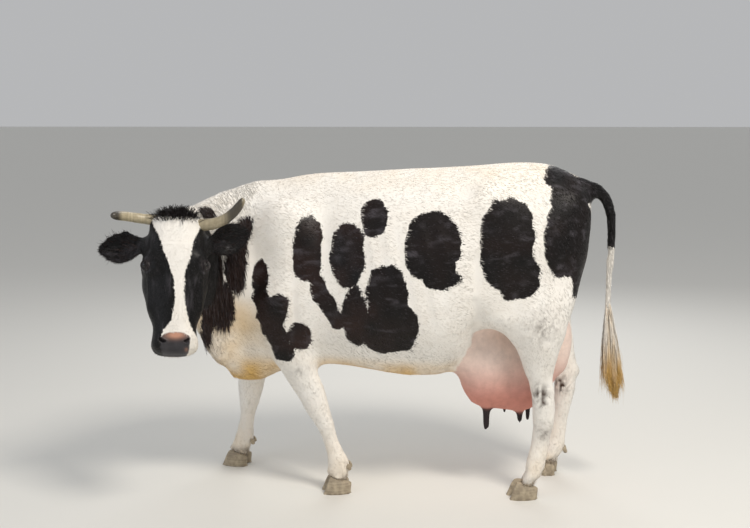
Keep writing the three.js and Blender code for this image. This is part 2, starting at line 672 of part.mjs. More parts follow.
// Legs: an upper and a lower length, parted at the knee or hock.
const legRegions = [];
const legSolids = {};
LEGS.forEach((leg) => {
  const side = leg.side;
  const hind = leg.name.startsWith('hind');
  const reach = leg.rows.map((row) => row.x);
  const front = hind ? 430 : Math.min(...reach) - 85;
  const rear = hind ? 1010 : Math.max(...reach) + 62;
  const inner = hind ? [0, side * 95, 612] : [0, side * 70, 476];
  const slant = hind ? [0, side * 0.74, -0.67] : [0, side * 0.66, -0.75];
  const region = (gap) => beyond(inner, slant, gap)
    .intersect(block([rear - front, 400, 1400], [(rear + front) / 2, side * 250, 300], [0, 0, 0], -gap));
  const ankle = [leg.footX, 0, CORONET];
  const foot = beyond(ankle, [CORONET_DROP, 0, 1]);
  const knee = [leg.footX, 0, leg.joint];
  const lean = [leg.tilt, 0, 1];
  const low = [front - 60, side < 0 ? -430 : 20];
  const high = [rear + 60, side < 0 ? -20 : 430];
  const half = (bottom, top, cell, normal) => {
    let solid = fieldSolid(fleshAlone, level, [...low, bottom], [...high, top], cell)
      .intersect(region(GAP / 2)).intersect(foot);
    if (hind) solid = solid.subtract(udderRegion(-GAP / 2));
    return largest(solid.intersect(beyond(knee, normal)));
  };
  const upper = half(leg.joint - 90, 920, hind ? [52, 46, 56] : [42, 40, 50], lean);
  const lower = half(0, leg.joint + 110, [34, 31, 50], lean.map((v) => -v));
  legRegions.push(region(-GAP / 2));
  legSolids[leg.name] = lower;
  addPiece(`${leg.name}_upper`, upper, whiteHair);
  addPiece(`${leg.name}_lower`, lower, whiteHair);
});

// A claw: rings from the sole up to the slanting coronet, with its toe towards -X.
const CLAW = { length: 128, topLength: 98, width: 53, topWidth: 47, apart: 3, toe: 17, sides: 9 };
function claw(leg, hand) {
  const rings = [0, 0.3, 1].map((t) => {
    const ring = [];
    const long = THREE.MathUtils.lerp(CLAW.length, CLAW.topLength, t) / 2;
    const wide = THREE.MathUtils.lerp(CLAW.width, CLAW.topWidth, t) / 2 + (t > 0 && t < 0.5 ? 1.5 : 0);
    for (let i = 0; i < CLAW.sides; i += 1) {
      const turn = (2 * Math.PI * i) / CLAW.sides;
      const x = -CLAW.toe * (1 - t) + long * Math.cos(turn);
      const slim = Math.cos(turn) < 0 ? 1 - 0.3 * Math.cos(turn) ** 2 : 1;
      const bow = Math.sign(Math.sin(turn)) * Math.abs(Math.sin(turn)) ** 0.75;
      const y = hand * (CLAW.apart + wide) + wide * bow * slim;
      const top = CORONET - CORONET_DROP * x - GAP;
      ring.push(new THREE.Vector3(x, y, t * top));
    }
    return ring;
  });
  const geometry = loft(rings);
  geometry.rotateZ(THREE.MathUtils.degToRad(leg.side * -leg.turn));
  geometry.translate(leg.footX, leg.side * LEG_SPREAD, 0);
  return solidOf(geometry).intersect(beyond([leg.footX, 0, CORONET], [-CORONET_DROP, 0, -1]));
}

LEGS.forEach((leg) => {
  const shank = grown(legSolids[leg.name], GAP);
  const fetlock = legTables[LEGS.indexOf(leg)](DEWCLAW_AT);
  [['outer', leg.side], ['inner', -leg.side]].forEach(([label, hand]) => {
    addPiece(`claw_${label}_${leg.name}`, claw(leg, hand), clawHorn);
    const x = fetlock.x + fetlock.deep;
    const y = leg.side * LEG_SPREAD + hand * 21;
    const spots = [
      { at: [x - 28, y - hand * 6, DEWCLAW_AT + 14], r: 14 },
      { at: [x - 3, y, DEWCLAW_AT], r: 14 },
      { at: [x + 5, y + hand * 2, DEWCLAW_AT - 14], r: 8 },
    ];
    addPiece(`dewclaw_${label}_${leg.name}`, largest(barSolid(spots, 5).subtract(shank)), clawHorn);
  });
});

// Head, neck and trunk share two flat cuts: one behind the jaw and poll, one ahead of the shoulder.
function inHead(side, at, front) {
  return new THREE.Vector3(side, at, front).applyMatrix4(headFrame).toArray();
}
const headSide = new THREE.Vector3(0, 142, 275).transformDirection(headFrame).toArray();
const faceOut = new THREE.Vector3(0, 0, 1).transformDirection(headFrame).toArray();
const headRegion = (gap) => beyond(inHead(0, -20, -124), headSide, gap)
  .intersect(beyond(inHead(0, 300, -305), faceOut, gap));
const collar = [-540, -6, 1300];
const collarNormal = [-1, -0.35, 0.27];

const headWhole = fieldSolid(fleshAlone, headFrame, [-190, -40, -310], [210, 600, 40], [31, 34, 31]);
const neckWhole = fieldSolid(fleshAlone, level, [-930, -640, 420], [-400, 300, 1430], [56, 54, 58]);
const trunkWhole = fieldSolid(fleshAlone, level, [-880, -380, 440], [1010, 380, 1480], [94, 80, 86]);

const head = largest(headWhole.intersect(headRegion(GAP / 2)));
let neck = neckWhole.subtract(headRegion(-GAP / 2)).intersect(beyond(collar, collarNormal));
let trunk = trunkWhole.intersect(beyond(collar, collarNormal.map((v) => -v)))
  .subtract(udderRegion(-GAP / 2));
legRegions.forEach((region) => {
  trunk = trunk.subtract(region);
  neck = neck.subtract(region);
});
trunk = largest(trunk);
addPiece('trunk', trunk, whiteHair);
addPiece('neck', largest(neck), whiteHair);

// Udder and teats.
const udder = largest(fieldSolid(fleshWithUdder, level, [300, -260, 320], [940, 260, 900], [62, 56, 60])
  .intersect(udderRegion(GAP / 2)));
addPiece('udder', udder, udderSkin);
const TEATS = [
  { name: 'teat_front_left', x: 502, y: -88, top: 400, tip: 270, r: 19 },
  { name: 'teat_front_right', x: 588, y: 74, top: 400, tip: 305, r: 17 },
  { name: 'teat_rear_left', x: 650, y: -52, top: 400, tip: 296, r: 17 },
  { name: 'teat_rear_right', x: 692, y: 48, top: 400, tip: 278, r: 17 },
];
const udderGrown = grown(udder, GAP);
TEATS.forEach(({ name, x, y, top, tip, r }) => {
  const spots = [
    { at: [x, y, tip], r: r * 0.45 },
    { at: [x, y, tip + r * 0.4], r: r * 0.85 },
    { at: [x, y, (tip + top) / 2], r },
    { at: [x, y, top], r: r * 1.3 },
  ];
  addPiece(name, largest(barSolid(spots, 8).subtract(udderGrown)), teatSkin);
});

// Tail: three lengths of one tapering bar, the last one its brush.
const tailWhole = barSolid(TAIL.map((row) => ({ at: [row.x, 0, row.z], r: row.r })), 8)
  .subtract(grown(trunk, GAP));
const [dockEnd, brushStart] = TAIL_PARTS;
addPiece('tail_dock', largest(tailWhole.intersect(beyond([0, 0, dockEnd], [0, 0, 1]))), blackHair);
addPiece('tail_middle', largest(tailWhole
  .intersect(beyond([0, 0, dockEnd], [0, 0, -1]))
  .intersect(beyond([0, 0, brushStart], [0, 0, 1]))), whiteHair);
addPiece('tail_switch', largest(tailWhole.intersect(beyond([0, 0, brushStart], [0, 0, -1]))), switchHair);

// Horns, ears and eyes are placed in the head's frame.
let headCut = head;
const skinGrown = grown(head, GAP);
[['left', 1, LEFT_HORN], ['right', -1, RIGHT_HORN]].forEach(([hand, side, horn]) => {
  const spots = horn.map(({ at, r }) => ({ at: inHead(...at), r }));
  addPiece(`horn_${hand}`, largest(barSolid(spots, 8).subtract(skinGrown)), hornSheath);
  const ball = (radius) => {
    const geometry = new THREE.SphereGeometry(radius, 10, 7);
    return solidOf(geometry.translate(...inHead(side * EYE.side, EYE.at, EYE.front)));
  };
  headCut = headCut.subtract(ball(EYE.radius + 2 * GAP));
  addPiece(`eye_${hand}`, ball(EYE.radius), eyeDark);
});
addPiece('head', largest(headCut), blackHair);

// An ear's cross-section is a thin crescent that opens forward.
function ear({ root, way, roll }) {
  const along = new THREE.Vector3(...way).normalize();
  const forward = new THREE.Vector3(0, 0, 1);
  const across = new THREE.Vector3().crossVectors(forward, along).normalize();
  across.applyAxisAngle(along, THREE.MathUtils.degToRad(roll));
  const open = new THREE.Vector3().crossVectors(along, across).normalize();
  const rings = EAR.map(({ at, half, cup, thick }) => {
    const spots = [];
    const spread = [-1, -0.7, -0.28, 0.28, 0.7, 1];
    spread.forEach((s) => spots.push([s * half, -cup * (1 - s * s) - (thick / 2) * Math.sqrt(1 - s * s)]));
    [0.7, 0.28, -0.28, -0.7].forEach((s) => {
      spots.push([s * half, -cup * (1 - s * s) + (thick / 2) * Math.sqrt(1 - s * s)]);
    });
    return spots.map(([a, b]) => new THREE.Vector3(...root)
      .addScaledVector(along, at)
      .addScaledVector(across, a)
      .addScaledVector(open, b)
      .applyMatrix4(headFrame));
  });
  return solidOf(loft(rings));
}
EARS.forEach((one) => addPiece(one.name, largest(ear(one).subtract(skinGrown)), blackHair));

export default cow;
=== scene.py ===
# %% [markdown]
# # A black-and-white dairy cow, life size
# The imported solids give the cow's size, pose and proportions. This script puts one living skin over
# them, opens the eyes, nostrils and mouth, paints the hide from named shapes, and grows a coat of
# mesh tufts. Lengths are in metres, or in millimetres where a name ends in MM or a comment says so.

# %% Load the frame
import math

import bpy
import numpy as np
from mathutils import Matrix, Vector
from mathutils.kdtree import KDTree


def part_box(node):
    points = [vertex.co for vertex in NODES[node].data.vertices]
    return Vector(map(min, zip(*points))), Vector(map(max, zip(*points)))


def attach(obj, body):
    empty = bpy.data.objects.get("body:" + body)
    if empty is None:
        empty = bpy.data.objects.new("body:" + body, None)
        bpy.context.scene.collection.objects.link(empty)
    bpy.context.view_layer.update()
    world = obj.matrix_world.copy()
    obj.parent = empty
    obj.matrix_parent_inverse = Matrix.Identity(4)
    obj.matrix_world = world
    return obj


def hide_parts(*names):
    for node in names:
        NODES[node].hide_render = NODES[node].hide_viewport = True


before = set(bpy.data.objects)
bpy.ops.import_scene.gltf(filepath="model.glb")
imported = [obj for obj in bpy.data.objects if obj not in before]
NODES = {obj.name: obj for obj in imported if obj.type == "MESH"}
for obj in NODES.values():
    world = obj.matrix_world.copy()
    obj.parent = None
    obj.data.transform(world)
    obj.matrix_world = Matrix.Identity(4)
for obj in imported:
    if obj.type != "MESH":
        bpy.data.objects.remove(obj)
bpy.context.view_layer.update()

MM = 0.001
rng = np.random.default_rng(7)

# %% [markdown]
# ## Camera, floor and light
# The cow is seen from its left side, a little above its back, through a normal lens. The floor is
# one large pale sheet. A broad key light from the upper right gives the belly and the far legs
# their shade, and two weaker ones keep that shade open.

# %% Camera
CAMERA_AT = (0.388, -4.4358, 1.635)
CAMERA_TURN = 5.0        # degrees to the left of straight across the cow
CAMERA_DOWN = 7.87
LENS_MM = 50.0

scene = bpy.context.scene
camera_data = bpy.data.cameras.new("camera")
camera_data.lens = LENS_MM
camera = bpy.data.objects.new("camera", camera_data)
camera.location = CAMERA_AT
camera.rotation_euler = (math.radians(90 - CAMERA_DOWN), 0, math.radians(CAMERA_TURN))
scene.collection.objects.link(camera)
scene.camera = camera
scene.view_settings.view_transform = "Standard"


# %% Small helpers
def deselect():
    """Nothing is selected and the script is in object mode."""
    if bpy.context.object and bpy.context.object.mode != "OBJECT":
        bpy.ops.object.mode_set(mode="OBJECT")
    bpy.ops.object.select_all(action="DESELECT")


def activate(piece):
    deselect()
    piece.select_set(True)
    bpy.context.view_layer.objects.active = piece


def apply_modifier(piece, kind, **settings):
    """Adds one modifier with its settings and applies it."""
    activate(piece)
    modifier = piece.modifiers.new(kind.lower(), kind)
    for key, value in settings.items():
        setattr(modifier, key, value)
    bpy.ops.object.modifier_apply(modifier=modifier.name)


def linear(hex_colour):
    """An sRGB hex colour as linear RGBA."""
    parts = [int(hex_colour[i:i + 2], 16) / 255 for i in (1, 3, 5)]
    return (*[v / 12.92 if v <= 0.04045 else ((v + 0.055) / 1.055) ** 2.4 for v in parts], 1.0)


def new_material(name):
    """An empty node tree with a Principled shader and its output."""
    material = bpy.data.materials.new(name)
    material.use_nodes = True
    tree = material.node_tree
    tree.nodes.clear()
    shader = tree.nodes.new("ShaderNodeBsdfPrincipled")
    output = tree.nodes.new("ShaderNodeOutputMaterial")
    tree.links.new(shader.outputs["BSDF"], output.inputs["Surface"])
    return material, tree, shader


def wire(tree, node, values=None, links=None):
    """Gives a node its socket values and the sockets that feed it."""
    for key, value in (values or {}).items():
        node.inputs[key].default_value = value
    for key, source in (links or {}).items():
        tree.links.new(source, node.inputs[key])
    return node


def add_node(tree, kind, values=None, links=None, **settings):
    """A shader node with its settings, its socket values and the sockets that feed it."""
    node = tree.nodes.new("ShaderNode" + kind)
    for key, value in settings.items():
        setattr(node, key, value)
    return wire(tree, node, values, links)


# %% Floor and lights
FLOOR_SIZE = 500          # metres, so that its edge makes a level horizon
bpy.ops.mesh.primitive_plane_add(size=FLOOR_SIZE, location=(0, 0, 0))
floor = bpy.context.object
floor.name = "floor"
floor_paper, floor_tree, floor_shader = new_material("matt_paper_floor")
wire(floor_tree, floor_shader, {"Base Color": linear("#DEDDD8"), "Roughness": 0.9})
floor.data.materials.append(floor_paper)

world = bpy.data.worlds.new("pale_room")
world.use_nodes = True
world.node_tree.nodes["Background"].inputs["Color"].default_value = linear("#ECEDEF")
world.node_tree.nodes["Background"].inputs["Strength"].default_value = 0.56
scene.world = world


def softbox(name, at, aim, size, watts, tint):
    """A square area light at one place, turned towards another."""
    data = bpy.data.lights.new(name, "AREA")
    data.size = size
    data.energy = watts
    data.color = linear(tint)[:3]
    lamp = bpy.data.objects.new(name, data)
    lamp.location = at
    lamp.rotation_euler = (Vector(aim) - Vector(at)).to_track_quat("-Z", "Y").to_euler()
    scene.collection.objects.link(lamp)


softbox("key_light", (2.4, -2.6, 5.2), (0.0, 0.0, 0.8), 1.5, 228, "#FFF8EE")
softbox("fill_light", (-4.2, -3.4, 2.4), (-0.3, 0.0, 0.8), 3.0, 27, "#EEF3FF")
softbox("back_light", (0.4, 4.2, 3.6), (0.0, 0.0, 1.0), 3.0, 70, "#FFFFFF")

# %% [markdown]
# ## The skin
# A cow's hide is one surface from muzzle to hoof. It could be sculpted by hand, but the packed
# solids already hold every proportion. So copies of the flesh solids are joined, a voxel remesh
# welds them into one shell, smoothing takes the facets away, and the folds are moved in by code.

# %% Which solids are flesh, by region
LEGS = [f"{end}leg_{side}_{part}" for end in ("fore", "hind") for side in ("left", "right")
        for part in ("upper", "lower")]
TEATS = [f"teat_{place}_{side}" for place in ("front", "rear") for side in ("left", "right")]
REGIONS = {
    "trunk": ["trunk"],
    "neck": ["neck"],
    "head": ["head"],
    "ear": ["ear_left", "ear_right"],
    "leg": LEGS,
    "udder": ["udder"] + TEATS,
    "tail": ["tail_dock", "tail_middle", "tail_switch"],
}
FLESH = [node for nodes in REGIONS.values() for node in nodes]
print("flesh solids:", len(FLESH))


# %% Mesh arrays in and out
def points_of(mesh):
    flat = np.empty(len(mesh.vertices) * 3)
    mesh.vertices.foreach_get("co", flat)
    return flat.reshape(-1, 3)


def set_points(mesh, points):
    mesh.vertices.foreach_set("co", np.ascontiguousarray(points, dtype=np.float32).ravel())
    mesh.update()


def normals_of(mesh):
    flat = np.empty(len(mesh.vertices) * 3, dtype=np.float32)
    mesh.vertex_normals.foreach_get("vector", flat)
    return flat.reshape(-1, 3).astype(float)


def edges_of(mesh):
    flat = np.empty(len(mesh.edges) * 2, dtype=np.int32)
    mesh.edges.foreach_get("vertices", flat)
    return flat.reshape(-1, 2)


def copy_of(names, name):
    """One new mesh piece from copies of CAD nodes, with the loose triangles merged."""
    deselect()
    for node in names:
        twin = NODES[node].copy()
        twin.data = NODES[node].data.copy()
        scene.collection.objects.link(twin)
        twin.select_set(True)
        bpy.context.view_layer.objects.active = twin
    bpy.ops.object.join()
    piece = bpy.context.object
    piece.name = piece.data.name = name
    piece.data.materials.clear()
    bpy.ops.object.mode_set(mode="EDIT")
    bpy.ops.mesh.select_all(action="SELECT")
    bpy.ops.mesh.remove_doubles(threshold=0.00002)
    bpy.ops.object.mode_set(mode="OBJECT")
    return piece


def gap_to(spots, centre):
    """How far each place is from one centre."""
    return np.linalg.norm(spots - np.array(centre), axis=1)


def relax(points, edges, rounds, amount):
    """Moves each point towards the mean of its neighbours; amount is a number or one per point."""
    count = len(points)
    degree = np.bincount(edges.ravel(), minlength=count)[:, None]
    amount = np.broadcast_to(np.asarray(amount, float).reshape(-1, 1), (count, 1))
    result = points.copy()
    for _ in range(rounds):
        mean = np.empty_like(result)
        for axis in range(result.shape[1]):
            mean[:, axis] = (np.bincount(edges[:, 0], result[edges[:, 1], axis], count)
                             + np.bincount(edges[:, 1], result[edges[:, 0], axis], count))
        result += amount * (mean / degree - result)
    return result


def smooth(points, edges, rounds, amount):
    """A relax that gives back what a plain one shrinks."""
    soft = relax(points, edges, rounds, amount)
    return soft + relax(points - soft, edges, rounds, amount)


# %% The head's own directions
# side is towards the cow's left, at runs down the face from the poll, and front is out of the face.
HEAD_AT = np.array([-0.77375, -0.33725, 1.258])
turn = Matrix.Rotation(math.radians(17), 3, "Z") @ Matrix.Rotation(math.radians(70), 3, "X")
turn = turn @ Matrix.Rotation(math.radians(-2.5), 3, "Z")
HEAD_TURN = np.array(turn) @ np.diag([1, -1, 1])


def in_head(points):
    """World metres to head millimetres: side, at, front."""
    return (points - HEAD_AT) @ HEAD_TURN / MM


def head_way(side, at, front):
    """A direction given in the head's terms, in the world."""
    way = HEAD_TURN @ np.array([side, at, front], float)
    return way / np.linalg.norm(way)


# %% Join the solids and weld them
VOXEL = 0.0114
EAR_VOXEL = 0.0035
EAR_PADDING = 0.0072     # an ear is thinner than a voxel can hold, so it is thickened first
MIDLINE = 0.15675        # the trunk's middle plane, as y
# Under the switch's hair the tail itself goes on as a thin core: height and x of its middle.
TAIL_END = np.array([[0.70, 1.030], [0.64, 1.036], [0.55, 1.046], [0.48, 1.054], [0.43, 1.062],
                     [0.385, 1.072], [0.35, 1.080]])

parts = []
for node in FLESH:
    part = copy_of([node], node + "_flesh")
    activate(part)
    if node.startswith("ear"):
        apply_modifier(part, "REMESH", mode="VOXEL", voxel_size=EAR_VOXEL)
        set_points(part.data, relax(points_of(part.data), edges_of(part.data), 8, 0.5))
        padded = points_of(part.data) + EAR_PADDING * normals_of(part.data)
        local = (padded - padded.mean(axis=0)) @ HEAD_TURN
        local[:, 1] = local[:, 1] * 1.2 - 0.003
        set_points(part.data, local @ HEAD_TURN.T + padded.mean(axis=0))
    if node == "tail_switch":
        spots = points_of(part.data)
        core_x = np.interp(spots[:, 2], TAIL_END[::-1, 0], TAIL_END[::-1, 1])
        slim = np.interp(spots[:, 2], [0.35, 0.45, 0.55, 0.64, 0.70], [0.2, 0.14, 0.22, 0.42, 0.85])
        drop = 0.70 - (0.70 - spots[:, 2]) * 0.7
        new_x = np.interp(drop, TAIL_END[::-1, 0], TAIL_END[::-1, 1])
        spots[:, 0] = new_x + (spots[:, 0] - core_x) * slim
        spots[:, 1] = MIDLINE + (spots[:, 1] - MIDLINE) * slim
        spots[:, 2] = drop
        set_points(part.data, spots)
    parts.append(part)
EYES = {side: (Vector(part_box("eye_" + side)[0]) + Vector(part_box("eye_" + side)[1])) / 2
        for side in ("left", "right")}
EYE_RADIUS = 0.020
for side, centre in EYES.items():
    bpy.ops.mesh.primitive_uv_sphere_add(segments=24, ring_count=12, radius=EYE_RADIUS, location=centre)
    bpy.ops.object.transform_apply(location=True, rotation=True, scale=True)
    parts.append(bpy.context.object)
deselect()
for part in parts:
    part.select_set(True)
bpy.context.view_layer.objects.active = parts[0]
bpy.ops.object.join()
skin = bpy.context.object
skin.name = skin.data.name = "cow_skin"
apply_modifier(skin, "REMESH", mode="VOXEL", voxel_size=VOXEL)
print("welded skin:", len(skin.data.polygons), "faces")

# %% Regions: how much each point belongs to trunk, neck, head, ear, leg, udder or tail
REGION_NAMES = list(REGIONS)
marks, labels = [], []
for number, name in enumerate(REGION_NAMES):
    for node in REGIONS[name]:
        mesh = NODES[node].data
        spots = points_of(mesh)
        corners = np.array([polygon.vertices[:] for polygon in mesh.polygons])
        tri = spots[corners]
        for weights in ((1, 0, 0), (0.5, 0.5, 0), (0.5, 0, 0.5), (0, 0.5, 0.5), (0.34, 0.33, 0.33)):
            spot = np.tensordot(np.array(weights, float), tri, axes=(0, 1))
            marks.append(spot)
            labels += [number] * len(spot)
marks = np.vstack(marks)
tree = KDTree(len(marks))
for index, spot in enumerate(marks):
    tree.insert(spot, index)
tree.balance()


def by_name(weights):
    """The columns of a table of region weights, under the regions' names."""
    return {name: weights[:, number] for number, name in enumerate(REGION_NAMES)}


def regions_at(points):
    hard = np.zeros((len(points), len(REGION_NAMES)))
    for index, spot in enumerate(points):
        hard[index, labels[tree.find(spot)[1]]] = 1
    return hard


points, edges = points_of(skin.data), edges_of(skin.data)
share = relax(regions_at(points), edges, 6, 0.5)
region = by_name(share)
print({name: int(value.sum()) for name, value in region.items()})

# %% Smooth the facets away
SMOOTH_ROUNDS = 60       # fewer leave the facets of the brisket showing
amount = (0.5 * (region["trunk"] + region["neck"]) + 0.30 * region["udder"] + 0.15 * region["leg"]
          + 0.07 * region["head"] + 0.03 * region["ear"] + 0.10 * region["tail"])
amount *= np.where((points[:, 2] < 0.40) & (region["udder"] > 0.3), 0.3, 1.0)      # keeps the teats
amount *= np.where(points[:, 2] < 0.115, 0.25, 1.0)                                 # and the pasterns
points = smooth(points, edges, SMOOTH_ROUNDS, amount)
points = relax(points, edges, 2, 0.3)
set_points(skin.data, points)


# %% Finer mesh where the small features are
def subdivide_where(piece, chosen):
    """Cuts every face whose points are all chosen into four."""
    mesh = piece.data
    for polygon in mesh.polygons:
        polygon.select = False
    chosen = np.asarray(chosen, bool)
    sizes = np.empty(len(mesh.polygons), dtype=np.int32)
    mesh.polygons.foreach_get("loop_total", sizes)
    loops = np.empty(len(mesh.loops), dtype=np.int32)
    mesh.loops.foreach_get("vertex_index", loops)
    starts = np.concatenate([[0], np.cumsum(sizes)[:-1]])
    whole = np.add.reduceat(chosen[loops].astype(int), starts) == sizes
    activate(piece)
    bpy.context.tool_settings.mesh_select_mode = (False, False, True)
    mesh.vertices.foreach_set("select", np.zeros(len(mesh.vertices), bool))
    mesh.edges.foreach_set("select", np.zeros(len(mesh.edges), bool))
    mesh.polygons.foreach_set("select", whole)
    bpy.ops.object.mode_set(mode="EDIT")
    bpy.ops.mesh.subdivide(number_cuts=1, smoothness=0)
    bpy.ops.object.mode_set(mode="OBJECT")


def near_eyes(points, reach):
    """Which points lie within reach of either eye."""
    return np.any([gap_to(points, centre) < reach for centre in EYES.values()], axis=0)


head = in_head(points)
on_face = (region["head"] + region["ear"] > 0.6) & (head[:, 1] > -40)
subdivide_where(skin, on_face)
points = points_of(skin.data)
head = in_head(points)
near_nose = (head[:, 1] > 468) & (head[:, 1] < 575) & (head[:, 2] > -135) & (abs(head[:, 0]) < 100)
subdivide_where(skin, near_eyes(points, 0.045) | near_nose)
points = points_of(skin.data)
subdivide_where(skin, near_eyes(points, 0.031))
points, edges = points_of(skin.data), edges_of(skin.data)
share = relax(regions_at(points), edges, 6, 0.5)
region = by_name(share)
head = in_head(points)
fine = (region["head"] + region["ear"]) > 0.5
points = relax(points, edges, 3, 0.35 * fine)
set_points(skin.data, points)
print("skin after subdivision:", len(skin.data.polygons), "faces")

# %% [markdown]
# ## Folds, bones and lids
# The skin lies inside the solids by the depth of the coat that grows on it. Each bone, hollow and
# fold is then one soft push along the surface's normal, placed by its real position. That is what a
# sculptor's brush does, and a list of pushes is easier to read and to correct than brush strokes.

# %% Soft pushes
def blob(spots, centre, radii):
    """1 at the centre, fading to nothing over about twice the radii."""
    return np.exp(-np.sum(((spots - np.array(centre)) / np.array(radii)) ** 2, axis=1))


def ridge(spots, start, end, width):
    """1 along a straight line between two places, fading to its sides."""
    start, end = np.array(start, float), np.array(end, float)
    along = np.clip((spots - start) @ (end - start) / np.sum((end - start) ** 2), 0, 1)
    gap = np.linalg.norm(spots - start - along[:, None] * (end - start), axis=1)
    return np.exp(-(gap / width) ** 2)


def rise(value, low, high):
    """A smooth step from 0 at low to 1 at high."""
    t = np.clip((value - low) / (high - low), 0, 1)
    return t * t * (3 - 2 * t)


def lattice_noise(spots, seed=0):
    """Smooth value noise between -1 and 1, one feature per unit of length."""
    cell = np.floor(spots).astype(np.int64)
    part = spots - cell
    part = part * part * (3 - 2 * part)
    total = np.zeros(len(spots))
    for dx in (0, 1):
        for dy in (0, 1):
            for dz in (0, 1):
                key = ((cell[:, 0] + dx) * 73856093) ^ ((cell[:, 1] + dy) * 19349663) ^ (
                    (cell[:, 2] + dz) * 83492791) ^ (seed * 2654435761)
                key = (key ^ (key >> 13)) * 1274126177
                value = ((key ^ (key >> 16)) & 0xFFFF) / 32767.5 - 1
                weight = (np.abs(1 - dx - part[:, 0]) * np.abs(1 - dy - part[:, 1])
                          * np.abs(1 - dz - part[:, 2]))
                total += value * weight
    return total


# %% The coat's depth, and the bones and hollows of the body
COAT_DEPTH = {"trunk": 4.5, "neck": 6.0, "head": 1.4, "ear": 5.6, "leg": 3.0, "udder": 0.5, "tail": 2.5}
normals = normals_of(skin.data)
points -= normals * (share @ np.array([COAT_DEPTH[name] for name in REGION_NAMES]))[:, None] * MM
flipped = points * (1, -1, 1) + (0, 2 * MIDLINE, 0)      # the right side folded over onto the left
one_side = np.where((points[:, 1] > MIDLINE)[:, None], flipped, points)
push = np.zeros(len(points))
for centre, radii, height in (
    ((0.375, -0.085, 1.345), (0.062, 0.07, 0.042), -20),     # hollow of the flank
    ((0.405, -0.135, 1.255), (0.045, 0.06, 0.075), -6),
    ((0.478, -0.075, 1.372), (0.042, 0.06, 0.036), 12),      # hook bone
    ((0.850, 0.055, 1.300), (0.040, 0.05, 0.045), 7),        # pin bone
    ((0.700, 0.010, 1.365), (0.080, 0.05, 0.035), -5),
    ((-0.330, -0.060, 1.240), (0.060, 0.07, 0.180), 9),      # shoulder blade
    ((-0.215, -0.080, 1.180), (0.046, 0.07, 0.190), -11),
    ((-0.415, -0.090, 0.900), (0.075, 0.08, 0.080), 10),     # point of the shoulder
    ((0.480, -0.110, 0.880), (0.060, 0.07, 0.090), 8),       # stifle
    ((0.420, -0.100, 0.730), (0.040, 0.09, 0.050), -6),
    ((0.742, -0.010, 0.560), (0.018, 0.08, 0.060), -10),     # in front of the hock's tendon
    ((0.838, 0.320, 0.560), (0.018, 0.08, 0.060), -10),
    ((0.790, -0.008, 0.485), (0.026, 0.06, 0.030), 9),       # points of the hocks
    ((0.905, 0.320, 0.485), (0.026, 0.06, 0.030), 9),
    ((0.700, -0.010, 0.300), (0.050, 0.06, 0.070), -3),      # cannon bones
    ((0.815, 0.320, 0.300), (0.050, 0.06, 0.070), -3),
    ((0.690, -0.010, 0.135), (0.055, 0.06, 0.028), 4),       # fetlocks
    ((0.805, 0.320, 0.135), (0.055, 0.06, 0.028), 4),
    ((-0.150, -0.010, 0.130), (0.055, 0.06, 0.028), 4),
    ((-0.655, 0.320, 0.130), (0.055, 0.06, 0.028), 4),
    ((-0.265, -0.030, 0.385), (0.050, 0.07, 0.040), 5),      # knees
    ((-0.590, 0.330, 0.385), (0.050, 0.07, 0.040), 5),
    ((-0.205, -0.020, 0.250), (0.050, 0.07, 0.060), -3),
    ((-0.630, 0.325, 0.250), (0.050, 0.07, 0.060), -3),
):
    spots = points if centre[1] > 0.2 or centre[2] < 0.6 else one_side
    push += height * blob(spots, centre, radii)
pastern = region["leg"] * (1 - rise(points[:, 2], 0.052, 0.122))         # leans forward over the claws
points[:, 0] -= np.where(points[:, 0] > 0.2, 26, 14) * MM * pastern
ribs = rise(one_side[:, 0], -0.16, -0.02) * rise(-one_side[:, 0], -0.36, -0.24)
ribs *= rise(one_side[:, 2], 0.72, 0.84) * rise(-one_side[:, 2], -1.28, -1.14) * region["trunk"]
push += 2.0 * ribs * np.sin(2 * np.pi * (one_side[:, 0] + 0.22 * one_side[:, 2]) / 0.074)
vein = np.column_stack([one_side[:, 0], one_side[:, 1] + 0.012 * np.sin(one_side[:, 0] * 38), one_side[:, 2]])
push += 6 * ridge(vein, (0.33, 0.015, 0.53), (-0.12, 0.06, 0.50), 0.013) * region["trunk"]
for start, end, height, width in (
    ((-0.560, -0.02, 1.24), (-0.500, -0.10, 0.93), -8, 0.028),
    ((-0.500, -0.10, 0.93), (-0.560, -0.12, 0.70), -10, 0.026),
    ((0.560, -0.14, 1.10), (0.600, -0.13, 0.74), -6, 0.035),
    ((0.780, -0.07, 1.05), (0.735, -0.10, 0.72), -9, 0.026),
    ((0.428, -0.155, 1.06), (0.430, -0.150, 0.94), -8, 0.024),
    ((0.430, -0.150, 0.88), (0.428, -0.075, 0.77), -11, 0.024),
    ((-0.347, -0.085, 1.13), (-0.345, -0.110, 0.95), -7, 0.022),
    ((-0.345, -0.110, 0.90), (-0.331, -0.103, 0.68), -9, 0.020),
):
    push += height * ridge(one_side, start, end, width) * (region["trunk"] + region["neck"] + region["leg"])
wrinkles = lattice_noise(points * (26, 26, 3.2), 3) + 0.6 * lattice_noise(points * (60, 60, 6), 4)
push += wrinkles * region["neck"] * (1.2 + 2.4 * rise(-points[:, 0], 0.56, 0.70))
belly = rise(-points[:, 2], -0.62, -0.50) * (region["trunk"] + region["neck"])
push += 1.5 * belly * lattice_noise(points * (20, 20, 20), 5)
points += normals * push[:, None] * MM

